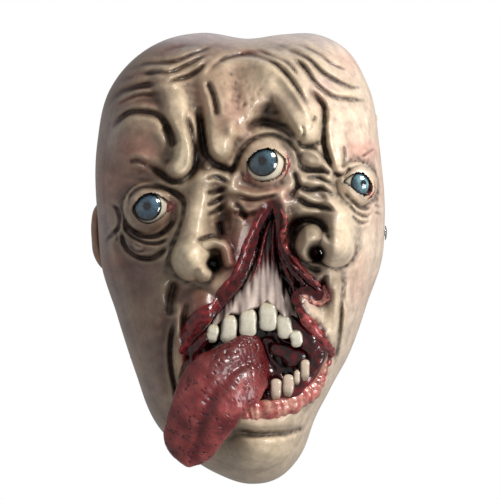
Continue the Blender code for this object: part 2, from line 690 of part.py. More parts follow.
def make_strap():
    """Elastic band: from the left rivet round the head, through the ring, and back over itself to the slider."""
    left = strap_sides()[0]
    half = STRAP_THICKNESS / 2
    straight = [(left + half, RIVET_Y - STRAP_WIDTH / 2), (left + half, RIVET_Y + STRAP_STRAIGHT / 2)]
    outer = [strap_point(a, half) for a in np.linspace(-math.pi / 2, RING_TURN, STRAP_STEPS)]
    wire = ring_wires()[1]
    turn_back = [strap_point(RING_TURN, half + 2 * LOOP)]
    radius = strap_arc()[2]
    end_turn = -SLIDER_ANGLE - (SLIDER_HALF + BAND_TAIL) / radius
    layer = half + STRAP_THICKNESS + 2 * GAP
    inner = [strap_point(a, layer) for a in np.linspace(RING_TURN - RING_RUN_IN, end_turn, INNER_STEPS)]
    loop = loop_back(wire, RING_TURN)
    path = straight + outer + loop + turn_back + inner
    band = add_object("strap_band", band_mesh("strap_band", path, STRAP_WIDTH, STRAP_THICKNESS), "elastic")
    pierce(band, left + half)
    rebase(band, (left + half, RIVET_Y, RIVET_Z))
    make_tab()
    make_ring()
    make_slider()


def loop_back(wire, turn):
    """Points of the band's half circle round the ring's wire, from its outer layer to its inner one."""
    out = Vector((math.sin(turn), math.cos(turn)))
    ahead = Vector((math.cos(turn), -math.sin(turn)))
    angles = [math.pi * i / 6 for i in range(1, 6)]
    return [tuple(Vector(wire) + LOOP * (out * math.cos(a) + ahead * math.sin(a))) for a in angles]


def pierce(obj, x):
    """Cut the rivet's hole through a piece at its side."""
    name = obj.name + "_hole"
    drill = cylinder_mesh(name, RIVET_HOLE, BAND_CUT, RIVET_STEPS)
    hole = add_cutter(name, drill, facing((1, 0, 0), (x, RIVET_Y, RIVET_Z)))
    cut(obj, hole)


def make_tab():
    """Short webbing tab, folded round the ring's wire, with both its ends held by the right rivet."""
    wire_x, wire_y = ring_wires()[0]
    start = RIVET_Y - STRAP_WIDTH / 2
    outer, inner = wire_x + LOOP, wire_x - LOOP
    near = outer - STRAP_THICKNESS - GAP
    loop = [
        (wire_x + LOOP * math.cos(math.pi * i / 6), wire_y + LOOP * math.sin(math.pi * i / 6))
        for i in range(7)
    ]
    ends = [(outer, RIVET_Y + TAB_STRAIGHT[0]), (near, RIVET_Y + TAB_STRAIGHT[1])]
    path = [(outer, start), ends[0]] + loop + [ends[1], (near, start)]
    tab = add_object("strap_tab", band_mesh("strap_tab", path, STRAP_WIDTH, STRAP_THICKNESS), "elastic")
    pierce(tab, (outer + near) / 2)
    rebase(tab, (outer, RIVET_Y, RIVET_Z))


def make_ring():
    """Rectangular wire ring between the tab's loop and the band's loop."""
    (tab_x, tab_y), (band_x, band_y) = ring_wires()
    half = STRAP_WIDTH / 2 + RING_WIRE * 2
    corners = [
        (tab_x, tab_y, RIVET_Z + half), (band_x, band_y, RIVET_Z + half),
        (band_x, band_y, RIVET_Z - half), (tab_x, tab_y, RIVET_Z - half),
    ]
    curve = bpy.data.curves.new("strap_ring", "CURVE")
    curve.dimensions = "3D"
    curve.bevel_depth = RING_WIRE
    curve.bevel_resolution = 1
    spline = curve.splines.new("POLY")
    spline.points.add(len(corners) - 1)
    for point, corner in zip(spline.points, corners):
        point.co = (*corner, 1)
    spline.use_cyclic_u = True
    ring = add_object("strap_ring", curve, "steel")
    rebase(ring, (tab_x, RIVET_Y, RIVET_Z))


def make_slider():
    """Three-bar slider round the band at the back of the head, with two windows for the band."""
    centre_x, centre_y, radius = strap_arc()
    tunnel_depth = 2 * STRAP_THICKNESS + 8 * GAP
    depth = tunnel_depth + 2 * SLIDER_WALL
    outer = (2 * SLIDER_HALF, depth, STRAP_WIDTH + 2 * SLIDER_BAR + 2 * GAP)
    middle = radius - STRAP_THICKNESS - GAP
    place = (
        Matrix.Translation((centre_x, centre_y, RIVET_Z))
        @ Matrix.Rotation(SLIDER_ANGLE, 4, "Z")
        @ Matrix.Translation((0, middle, 0))
    )
    slider = add_object("slider_frame", box_mesh("slider_frame", outer), "plastic", place)
    tunnel = add_cutter(
        "slider_tunnel", box_mesh("slider_tunnel", (SLIDER_CUT[0], tunnel_depth, STRAP_WIDTH + 2 * GAP)), place
    )
    cut(slider, tunnel, "tunnel")
    window_length = SLIDER_HALF - 1.5 * SLIDER_BAR
    for side in (-1, 1):
        window = add_cutter(
            f"slider_window_{side}",
            box_mesh(f"slider_window_{side}", (window_length, SLIDER_CUT[1], WINDOW_HEIGHT)),
            place @ Matrix.Translation((side * (window_length + SLIDER_BAR) / 2, SLIDER_CUT[1] / 2, 0)),
        )
        cut(slider, window, "window")
    rebase(slider, (centre_x, centre_y, RIVET_Z))


def make_side_fittings():
    """Patch, rivet and washer at each side, on one axis along X that the strap turns about."""
    layers = {-1: STRAP_THICKNESS, 1: 2 * STRAP_THICKNESS + GAP}  # one band at the left, a folded tab at the right
    for side, word in ((-1, "left"), (1, "right")):
        skin_x = side_x(side, RIVET_Y, RIVET_Z)
        make_patch(f"strap_patch_{word}", side)
        washer_x = skin_x - side * (STRAP_INSET + layers[side] + GAP)
        tail_x = washer_x - side * (WASHER_THICKNESS + GAP)
        make_rivet(f"rivet_{word}", side, skin_x + side * GAP * 2, tail_x)
        make_washer(f"washer_{word}", side, washer_x)


def make_patch(name, side):
    """Square of gauze glued inside the shell round the rivet's hole."""
    shape = bmesh.new()
    bmesh.ops.create_grid(shape, x_segments=PATCH_STEPS, y_segments=PATCH_STEPS, size=1)
    for vertex in shape.verts:
        y = RIVET_Y + PATCH_HALF[0] * vertex.co.x
        z = RIVET_Z + PATCH_HALF[1] * vertex.co.y
        vertex.co = (side_x(side, y, z) - side * PATCH_INSET, y, z)
    data = bpy.data.meshes.new(name)
    if side < 0:
        bmesh.ops.reverse_faces(shape, faces=shape.faces)
    shape.to_mesh(data)
    shape.free()
    patch = add_object(name, data, "gauze")
    wall = patch.modifiers.new("wall", "SOLIDIFY")
    wall.thickness = PATCH_THICKNESS
    wall.offset = -1
    pierce(patch, side_x(side, RIVET_Y, RIVET_Z) - side * WALL * 2)


def make_rivet(name, side, head_x, tail_x):
    """Tubular rivet: a domed head outside, a plain shank, and a small rolled tail inside."""
    length = abs(tail_x - head_x)
    end = -length - RIVET_TAIL_HEIGHT
    profile = [
        (0.0, end), (RIVET_TAIL, end), (RIVET_TAIL, -length), (RIVET_SHANK, -length),
        (RIVET_SHANK, 0.0), (RIVET_HEAD, 0.0), (RIVET_HEAD * RIVET_CROWN[0], RIVET_HEAD_HEIGHT * RIVET_CROWN[1]),
        (0.0, RIVET_HEAD_HEIGHT),
    ]
    turned_object(name, profile, "steel", facing((side, 0, 0), (head_x, RIVET_Y, RIVET_Z)), RIVET_STEPS)


def make_washer(name, side, washer_x):
    """Flat steel washer between the strap and the rivet's tail."""
    profile = [
        (RIVET_HOLE, 0.0), (RIVET_HOLE, -WASHER_THICKNESS),
        (RIVET_HEAD, -WASHER_THICKNESS), (RIVET_HEAD, 0.0),
    ]
    turned_object(name, profile, "steel", facing((side, 0, 0), (washer_x, RIVET_Y, RIVET_Z)), RIVET_STEPS)


# ---------------------------------------------------------------- forehead pad
def make_pad():
    """Foam strip glued inside the forehead."""
    shape = bmesh.new()
    bmesh.ops.create_grid(shape, x_segments=PAD_STEPS[0], y_segments=PAD_STEPS[1], size=1)
    for vertex in shape.verts:
        x = PAD_CENTRE[0] + PAD_HALF[0] * vertex.co.x
        z = PAD_CENTRE[1] + PAD_HALF[1] * vertex.co.y
        vertex.co = (x, inner_y(x, z, 4 * GAP), z)
    data = bpy.data.meshes.new("forehead_pad")
    shape.to_mesh(data)
    shape.free()
    pad = add_object("forehead_pad", data, "foam")
    wall = pad.modifiers.new("wall", "SOLIDIFY")
    wall.thickness = PAD_THICKNESS
    wall.offset = -1


clear_scene()
PARTS = collection("latex_mask")
CUTTERS = collection("cutters", hidden=True)
make_skin()
for eye in EYES:
    make_eye(*eye)
make_jaws()
make_lining()
make_tongue()
make_strap()
make_side_fittings()
make_pad()
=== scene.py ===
"""Looks of a cast latex fright mask: three eyes, two noses, a torn mouth and a long hanging tongue.

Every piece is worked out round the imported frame. Lengths of the pieces are millimetres, with x to the
viewer's right, y away from the viewer and z up, until mesh_piece turns them into metres; the stage and
the materials are in metres.
"""
from __future__ import annotations

import logging
import math
from dataclasses import dataclass, field
from enum import Enum

import bpy
import numpy as np
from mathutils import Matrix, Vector

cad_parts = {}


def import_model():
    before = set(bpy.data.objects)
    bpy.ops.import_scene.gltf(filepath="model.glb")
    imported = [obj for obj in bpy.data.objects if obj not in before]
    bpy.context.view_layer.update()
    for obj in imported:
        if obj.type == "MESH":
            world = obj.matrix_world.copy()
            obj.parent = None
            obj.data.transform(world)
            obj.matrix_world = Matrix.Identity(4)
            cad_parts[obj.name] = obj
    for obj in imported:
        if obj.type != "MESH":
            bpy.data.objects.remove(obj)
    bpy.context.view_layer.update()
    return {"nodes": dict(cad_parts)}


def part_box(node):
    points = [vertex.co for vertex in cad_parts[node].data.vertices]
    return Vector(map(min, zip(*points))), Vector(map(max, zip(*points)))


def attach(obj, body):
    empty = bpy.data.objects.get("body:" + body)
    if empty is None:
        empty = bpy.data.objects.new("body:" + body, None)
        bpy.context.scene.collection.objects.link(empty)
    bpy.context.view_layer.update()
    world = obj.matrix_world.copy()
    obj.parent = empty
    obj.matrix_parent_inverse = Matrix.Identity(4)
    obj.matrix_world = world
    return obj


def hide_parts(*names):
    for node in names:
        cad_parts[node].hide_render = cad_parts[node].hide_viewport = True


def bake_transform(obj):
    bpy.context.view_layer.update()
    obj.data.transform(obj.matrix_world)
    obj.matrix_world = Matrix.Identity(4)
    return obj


log = logging.getLogger("mask")
MM = 0.001
Array = np.ndarray
Path = tuple[tuple[float, float], ...]
Vec3 = tuple[float, float, float]
Piece, Material, Tree = bpy.types.Object, bpy.types.Material, bpy.types.NodeTree
Node, Socket = bpy.types.Node, bpy.types.NodeSocket
Inputs = dict[str | int, Socket | float | tuple[float, ...]]


# ------------------------------------------------------------------ numbers and meshes
def smoothstep(low: float, high: float, value: Array) -> Array:
    """Cubic step t * t * (3 - 2 t), where t is the clipped share of the way from low to high."""
    t = np.clip((value - low) / (high - low), 0.0, 1.0)
    return t * t * (3.0 - 2.0 * t)


def smooth_max(a: Array, b: Array, blend: float) -> Array:
    """Larger of two arrays with a rounded join: their mean plus half of sqrt(difference squared + blend squared)."""
    return 0.5 * (a + b + np.sqrt((a - b) ** 2 + blend**2))


def bell(value: Array) -> Array:
    """exp(-value squared)."""
    return np.exp(-(value**2))


def layered(colour: Array, *layers: tuple[Array, Array]) -> Array:
    """A colour with others laid over it in turn, each a colour and its share at each point."""
    for tint, share in layers:
        colour = mixed(colour, tint, share)
    return colour


def ripple(points: Array, size: float, seed: int) -> Array:
    """Smooth lumpy noise between about -1 and 1: the mean of sines along seeded random directions.

    Args:
        points: Points, one in each row.
        size: Width of a typical lump, in the points' unit.
        seed: Number that picks the directions.

    Returns:
        One value for each point.
    """
    rng = np.random.default_rng(seed)
    total = np.zeros(len(points))
    for _ in range(9):
        way = rng.normal(size=points.shape[1])
        way *= rng.uniform(0.7, 1.5) * math.pi / (np.linalg.norm(way) * size)
        total += np.sin(points @ way + rng.uniform(0, 2 * math.pi))
    return total / 4.0


def curve_through(points: Path, per_span: int = 7, closed: bool = False) -> Array:
    """Catmull-Rom curve through points.

    Args:
        points: Points to pass through.
        per_span: Points made for each span.
        closed: Whether the curve returns to its first point.

    Returns:
        Points along the curve, one in each row.
    """
    p = np.array(points, float)
    p = np.vstack([p[-1], p, p[:2]]) if closed else np.vstack([2 * p[0] - p[1], p, 2 * p[-1] - p[-2]])
    t = np.linspace(0, 1, per_span, endpoint=False)[None, :, None]
    a, b, c, d = (p[k : len(p) - 3 + k, None, :] for k in range(4))
    spans = 0.5 * (2 * b + (c - a) * t + (2 * a - 5 * b + 4 * c - d) * t**2 + (3 * b - a - 3 * c + d) * t**3)
    made = spans.reshape(-1, p.shape[1])
    return made if closed else np.vstack([made, p[-2]])


def distance_to(path: Array, x: Array, z: Array) -> tuple[Array, Array]:
    """Distance from places to a run of straight spans.

    Args:
        path: The run's points.
        x: Places' x.
        z: Places' z.

    Returns:
        The distance, and the share of the run's length where the nearest point lies.
    """
    best, share = np.full(x.shape, 1e9), np.zeros(x.shape)
    spans = np.diff(path, axis=0)
    lengths = np.hypot(spans[:, 0], spans[:, 1])
    starts = np.concatenate([[0.0], np.cumsum(lengths)])
    for (x0, z0), (dx, dz), length, start in zip(path[:-1], spans, lengths, starts):
        t = np.clip(((x - x0) * dx + (z - z0) * dz) / max(length**2, 1e-9), 0, 1)
        far = np.hypot(x - x0 - t * dx, z - z0 - t * dz)
        nearer = far < best
        best = np.where(nearer, far, best)
        share = np.where(nearer, (start + t * length) / starts[-1], share)
    return best, share


def inside_outline(outline: Array, x: Array, z: Array) -> Array:
    """Signed distance to a closed outline, negative inside.

    Args:
        outline: The outline's points.
        x: Places' x.
        z: Places' z.

    Returns:
        The signed distance of each place.
    """
    ring = np.vstack([outline, outline[0]])
    far, _ = distance_to(ring, x, z)
    crossings = np.zeros(x.shape, int)
    for (x0, z0), (x1, z1) in zip(ring[:-1], ring[1:]):
        spans = (z0 > z) != (z1 > z)
        level = x0 + (z - z0) * (x1 - x0) / (z1 - z0 if z1 != z0 else 1e-9)
        crossings += spans & (x < level)
    return np.where(crossings % 2 == 1, -far, far)


def mesh_piece(name: str, points: Array, quads: Array) -> Piece:
    """Makes a smoothly shaded object from points and quads.

    Args:
        name: The piece's name.
        points: Points in millimetres, one in each row.
        quads: Four point numbers in each row; a repeated number makes a triangle.

    Returns:
        The new object.
    """
    data = bpy.data.meshes.new(name)
    same = quads[:, 2] == quads[:, 3]
    sizes = np.where(same, 3, 4)
    corners = quads.ravel()[np.stack([np.ones(len(quads), bool)] * 3 + [~same], axis=1).ravel()]
    data.vertices.add(len(points))
    data.vertices.foreach_set("co", np.ascontiguousarray(points * MM, np.float32).ravel())
    data.loops.add(len(corners))
    data.loops.foreach_set("vertex_index", corners.astype(np.int32))
    data.polygons.add(len(quads))
    data.polygons.foreach_set("loop_start", (np.cumsum(sizes) - sizes).astype(np.int32))
    data.polygons.foreach_set("use_smooth", np.ones(len(quads), bool))
    data.update(calc_edges=True)
    data.validate()
    made = bpy.data.objects.new(name, data)
    bpy.context.scene.collection.objects.link(made)
    return made


def closed_piece(name: str, points: Array, quads: Array) -> Piece:
    """Makes an object like mesh_piece, with the faces of its closed surface turned out."""
    return mesh_piece(name, points, facing_out(points, quads))


def box_of(node: str) -> tuple[Array, Array]:
    """Low and high corner of a CAD node's box, in millimetres."""
    low, high = (np.array(corner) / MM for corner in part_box(node))
    return low, high


def unit(vectors: Array) -> Array:
    """Vectors along the last axis, brought to a length of 1."""
    return vectors / (np.linalg.norm(vectors, axis=-1, keepdims=True) + 1e-12)


def circles(across: Array, out: Array, angle: Array) -> Array:
    """Unit circles, one for each pair of directions: across times cos(angle) plus out times sin(angle)."""
    return across[..., None, :] * np.cos(angle)[:, None] + out[..., None, :] * np.sin(angle)[:, None]


def lengths_along(path: Array) -> Array:
    """Length of a path up to each of its points."""
    return np.concatenate([[0], np.cumsum(np.linalg.norm(np.diff(path, axis=0), axis=1))])


def signed_power(values: Array, power: float) -> Array:
    """Values raised to a power, with their signs kept."""
    return np.sign(values) * np.abs(values) ** power


def with_ends(values: Array) -> Array:
    """A capped roll's values, with 0 added for the middle of each end."""
    return np.append(values, [0, 0])


def turns(count: int) -> Array:
    """Evenly spaced angles of a whole turn."""
    return np.linspace(0, 2 * np.pi, count, endpoint=False)


def grid_quads(rows: int, columns: int, wrap: bool = False, flip: bool = False) -> Array:
    """Quads of a grid of points stored row by row.

    Args:
        rows: Number of rows.
        columns: Number of columns.
        wrap: Whether the last column joins the first.
        flip: Whether to turn the faces over.

    Returns:
        Four point numbers for each quad.
    """
    r, c = np.meshgrid(np.arange(rows - 1), np.arange(columns if wrap else columns - 1), indexing="ij")
    nxt = (c + 1) % columns
    quads = np.stack([r * columns + c, r * columns + nxt, (r + 1) * columns + nxt, (r + 1) * columns + c], -1)
    quads = quads.reshape(-1, 4)
    return quads[:, ::-1] if flip else quads


def set_colour(piece: Piece, colour: Array, wet: Array | float) -> None:
    """Stores a colour, and how wet it is, at each of a piece's points.

    Args:
        piece: The piece.
        colour: Linear red, green and blue, one row for each point.
        wet: 0 for dry to 1 for glossy, one for all points or one for each.
    """
    count = len(piece.data.vertices)
    rgba = np.ones((count, 4), np.float32)
    rgba[:, :3] = np.clip(colour, 0, 1)
    paint = piece.data.attributes.new("paint", "FLOAT_COLOR", "POINT")
    paint.data.foreach_set("color", rgba.ravel())
    level = np.broadcast_to(np.clip(wet, 0, 1), count).astype(np.float32)
    piece.data.attributes.new("wet", "FLOAT", "POINT").data.foreach_set("value", level)


def rgb(red: int, green: int, blue: int) -> Array:
    """Linear colour of a display colour given from 0 to 255."""
    c = np.array([red, green, blue]) / 255.0
    return np.where(c <= 0.04045, c / 12.92, ((c + 0.055) / 1.055) ** 2.4)


def mixed(a: Array, b: Array, share: Array) -> Array:
    """Colours between a and b, one row for each share."""
    share = np.clip(share, 0, 1)[:, None]
    return a * (1 - share) + b * share


def turned_frames(path: Array) -> tuple[Array, Array]:
    """Unit vectors sideways, and out towards the viewer, at each point of a path that doesn't twist much."""
    ahead = unit(np.gradient(path, axis=0))
    across = unit(np.cross(ahead, (0.0, -1.0, 0.0)))
    return across, np.cross(across, ahead)


def tube_points(path: Array, radii: Array, around: int, flat: float = 1.0, lumps: float = 0.0,
                size: float = 0.004, seed: int = 1) -> Array:
    """A roll carried along a path: circles squashed towards the path's face, with lumps.

    Args:
        path: Points along the middle.
        radii: Radius at each point.
        around: Points round each ring.
        flat: Depth of the section over its width.
        lumps: Share of the radius that the lumps take.
        size: Width of a lump.
        seed: Seed of the lumps.

    Returns:
        A ring of points for each point of the path.
    """
    across, out = turned_frames(path)
    ring = circles(across, out * flat, turns(around))
    if lumps:
        wave = ripple((path[:, None, :] + ring * radii[:, None, None]).reshape(-1, 3), size, seed)
        ring = ring * (1 + lumps * wave.reshape(len(path), around, 1))
    return path[:, None, :] + ring * radii[:, None, None]


def capped_roll(name: str, rings: Array) -> tuple[Piece, Array]:
    """Makes a closed roll from rings, with a fan of triangles at each end.

    Args:
        name: The piece's name.
        rings: Rings of points in millimetres, first to last.

    Returns:
        The new object, facing out, and its points: the rings' and the middle of each end.
    """
    rows, around, _ = rings.shape
    points = np.vstack([rings.reshape(-1, 3), rings[0].mean(0), rings[-1].mean(0)])
    k = np.arange(around)
    nxt = (k + 1) % around
    first, last, row = rows * around, rows * around + 1, (rows - 1) * around
    start = np.stack([k, np.full(around, first), nxt, nxt], 1)
    end = np.stack([row + nxt, np.full(around, last), row + k, row + k], 1)
    return closed_piece(name, points, np.vstack([grid_quads(rows, around, wrap=True), start, end])), points


def hoop(name: str, rings: Array) -> tuple[Piece, Array]:
    """Makes a roll whose last ring joins the first; it returns the object and its points."""
    points = rings.reshape(-1, 3)
    quads = grid_quads(len(rings) + 1, rings.shape[1], wrap=True) % len(points)
    return closed_piece(name, points, quads), points


def facing_out(points: Array, quads: Array) -> Array:
    """Quads of a closed surface, turned over if its signed volume is negative.

    Args:
        points: The surface's points.
        quads: Its quads, all turned the same way.

    Returns:
        The quads, facing out.
    """
    p = points[quads]
    volume = np.einsum("ij,ij->i", p[:, 0], np.cross(p[:, 1], p[:, 2])).sum()
    volume += np.einsum("ij,ij->i", p[:, 0], np.cross(p[:, 2], p[:, 3])).sum()
    return quads if volume > 0 else flipped(quads)


def flipped(quads: Array) -> Array:
    """Quads turned over, with triangles kept as a repeated last number."""
    same = quads[:, 2] == quads[:, 3]
    turned = quads[:, [0, 3, 2, 1]]
    turned[same] = quads[same][:, [0, 2, 1, 1]]
    return turned


# ------------------------------------------------------------------ finishes
@dataclass(frozen=True)
class PaintFinish:
    """A painted or moulded surface whose colour comes from its points, with grain, pores and gloss."""

    name: str
    dry: float = 0.5
    glossy: float = 0.15
    mottle: float = 0.12
    mottle_size: float = 0.006
    grain: float = 0.0006
    bump: float = 0.25
    bump_depth: float = 0.0003
    coat: float = 0.0

    def material(self) -> Material:
        """Builds the node material: the points' colour times cloudy noise, roughness by wetness, fine bump."""
        made, tree, shader, place = new_material(self.name)
        cloud = noise(tree, place, 1 / self.mottle_size, 4, 0.6)
        shade = map_range(tree, cloud, 0.3, 0.7, 1 - self.mottle, 1 + self.mottle)
        tinted = add_node(tree, "VectorMath", {0: stored(tree, "paint").outputs["Color"], "Scale": shade}, "SCALE")
        smear = noise(tree, place, 1 / (self.mottle_size * 0.4), 3, 0.5)
        base = map_range(tree, stored(tree, "wet").outputs["Fac"], 0, 1, self.dry, self.glossy)
        rough = add_node(tree, "Math", {0: base, 1: map_range(tree, smear, 0.3, 0.7, 0.8, 1.25)}, "MULTIPLY")
        fine = noise(tree, place, 1 / self.grain, 3, 0.6)
        fill(tree, shader, {"Base Color": tinted.outputs[0], "Roughness": rough.outputs[0],
                            "Normal": bumped(tree, fine, self.bump, self.bump_depth),
                            "Coat Weight": self.coat, "Coat Roughness": 0.12})
        return made


def new_material(name: str) -> tuple[Material, Tree, Node, Socket]:
    """Makes a node material, and returns it with its tree, its main shader and a coordinate in metres."""
    made = bpy.data.materials.new(name)
    made.use_nodes = True
    tree = made.node_tree
    return made, tree, tree.nodes["Principled BSDF"], tree.nodes.new("ShaderNodeTexCoord").outputs["Object"]


def fill(tree: Tree, node: Node, inputs: Inputs) -> None:
    """Links the sockets, and sets the values, that are given for a node's inputs."""
    for key, value in inputs.items():
        if isinstance(value, Socket):
            tree.links.new(value, node.inputs[key])
        else:
            node.inputs[key].default_value = value


def add_node(tree: Tree, kind: str, inputs: Inputs, operation: str = "") -> Node:
    """Adds a shader node.

    Args:
        tree: The tree it goes in.
        kind: Its type, without the common prefix.
        inputs: Sockets and values for its inputs.
        operation: What a math node works out.

    Returns:
        The new node.
    """
    node = tree.nodes.new("ShaderNode" + kind)
    if operation:
        node.operation = operation
    fill(tree, node, inputs)
    return node


def stored(tree: Tree, name: str) -> Node:
    """Adds a node that reads what is stored at the points under a name."""
    node = tree.nodes.new("ShaderNodeAttribute")
    node.attribute_name = name
    return node


def noise(tree: Tree, place: Socket, scale: float, detail: float, rough: float) -> Socket:
    """Adds a noise texture on a coordinate and returns its output."""
    inputs = {"Scale": scale, "Detail": detail, "Roughness": rough, "Vector": place}
    return add_node(tree, "TexNoise", inputs).outputs["Fac"]


def bumped(tree: Tree, height: Socket, strength: float, distance: float) -> Socket:
    """Adds a bump by a height and returns its normal."""
    return add_node(tree, "Bump", {"Strength": strength, "Distance": distance, "Height": height}).outputs["Normal"]


def map_range(tree: Tree, value: Socket, low: float, high: float, to_low: float,
              to_high: float) -> Socket:
    """Adds a Map Range node and returns its output."""
    inputs = {"From Min": low, "From Max": high, "To Min": to_low, "To Max": to_high, "Value": value}
    return add_node(tree, "MapRange", inputs).outputs["Result"]


# ------------------------------------------------------------------ the head form
@dataclass
class HeadForm:
    """The plain bulging form under the sculpt: an outline, carried back from the front to the rear rim."""

    centre: tuple[float, float] = (-5.0, -20.0)
    widest_y: float = -10.0
    depth: float = 88.0
    rim_y: float = 20.0
    rim_angle: float = math.radians(99)
    side: float = 3.0
    top: float = 2.5
    chin: float = 2.7
    front_share: float = 0.80  # share of the grid's way out that the front takes
    front_reach: float = 0.94  # share of the outline's radius that it covers
    outline: Path = (
        (-2, 121), (22, 124), (44, 124), (64, 114), (79, 90), (87, 50), (91, 0), (89, -30), (79, -60), (66, -96),
        (53, -120), (42, -142), (34, -163), (18, -180), (-2, -184), (-24, -177), (-46, -163), (-64, -145),
        (-79, -110), (-92, -70), (-103, -35), (-106, 0), (-106, 50), (-97, 87), (-80, 108), (-60, 120), (-35, 125),
    )

    def radius(self, angle: Array) -> Array:
        """Radius of the outline at each angle: a periodic cubic through its points."""
        x, z = np.array(self.outline).T
        at = np.arctan2(z - self.centre[1], x - self.centre[0])
        r = np.hypot(x - self.centre[0], z - self.centre[1])
        order = np.argsort(at)
        at, r = at[order], r[order]
        at = np.concatenate([at[-2:] - 2 * np.pi, at, at[:2] + 2 * np.pi])
        r = np.concatenate([r[-2:], r, r[:2]])
        slope = np.gradient(r, at)
        k = np.clip(np.searchsorted(at, angle) - 1, 0, len(at) - 2)
        step = at[k + 1] - at[k]
        t = (angle - at[k]) / step
        return (r[k] * (1 + 2 * t) * (1 - t) ** 2 + slope[k] * step * t * (1 - t) ** 2
                + r[k + 1] * t**2 * (3 - 2 * t) + slope[k + 1] * step * t**2 * (t - 1))

    def share(self, x: Array, z: Array) -> Array:
        """How far out of the centre a place is, as a share of the outline's radius there."""
        dx, dz = x - self.centre[0], z - self.centre[1]
        return np.hypot(dx, dz) / self.radius(np.arctan2(dz, dx))

    def front(self, x: Array, z: Array) -> Array:
        """y of the plain form's front: the widest y less depth times a superellipse of the share."""
        angle = np.arctan2(z - self.centre[1], x - self.centre[0])
        ends = np.where(np.sin(angle) > 0, self.top, self.chin)
        power = self.side + (ends - self.side) * np.sin(angle) ** 2
        share = np.clip(self.share(x, z), 0, 1)
        return self.widest_y - self.depth * (1 - share**power) ** (1 / power)

    def grid(self, columns: int, rows: int) -> tuple[Array, Array, Array]:
        """A square grid pressed into the outline and swept back to the rim.

        Args:
            columns: Points across.
            rows: Points up.

        Returns:
            x, y and z of its points in millimetres, as rows by columns.
        """
        s, t = np.meshgrid(np.linspace(-1, 1, columns), np.linspace(-1, 1, rows))
        across, up = s * np.sqrt(1 - t * t / 2), t * np.sqrt(1 - s * s / 2)
        angle, out = np.arctan2(up, across), np.hypot(across, up)
        edge = math.asin(self.front_reach)
        beyond = edge + (self.rim_angle - edge) * (out - self.front_share) / (1 - self.front_share)
        sweep = np.where(out < self.front_share, np.arcsin(self.front_reach * np.minimum(out / self.front_share, 1)),
                         beyond)
        radius = self.radius(angle) * np.sin(sweep)
        x = self.centre[0] + radius * np.cos(angle)
        z = self.centre[1] + radius * np.sin(angle)
        behind = self.widest_y + (self.rim_y - self.widest_y) * np.cos(sweep) / math.cos(self.rim_angle)
        return x, np.where(sweep < math.pi / 2, self.front(x, z), behind), z


# ------------------------------------------------------------------ the sculpt
@dataclass(frozen=True)
class Roll:
    """A raised roll of skin: half width and height at its two ends, and how square its section is."""

    path: Path
    wide: tuple[float, float]
    high: tuple[float, float]
    power: float = 2.0


@dataclass(frozen=True)
class Crease:
    """A furrow: half width, depth, how much its lips swell, how dark its wash and painted shade are, and how red its
    paint is.
    """

    path: Path
    wide: float = 1.6
    deep: float = 2.5
    lip: float = 0.6
    dark: float = 0.9
    red: float = 0.0
    ends: float = 0.18


@dataclass(frozen=True)
class Knob:
    """A rounded boss: middle, half sizes, turn in degrees, height, and the power of its fall to the edge."""

    at: tuple[float, float]
    half: tuple[float, float]
    high: float
    turn: float = 0.0
    power: float = 1.0


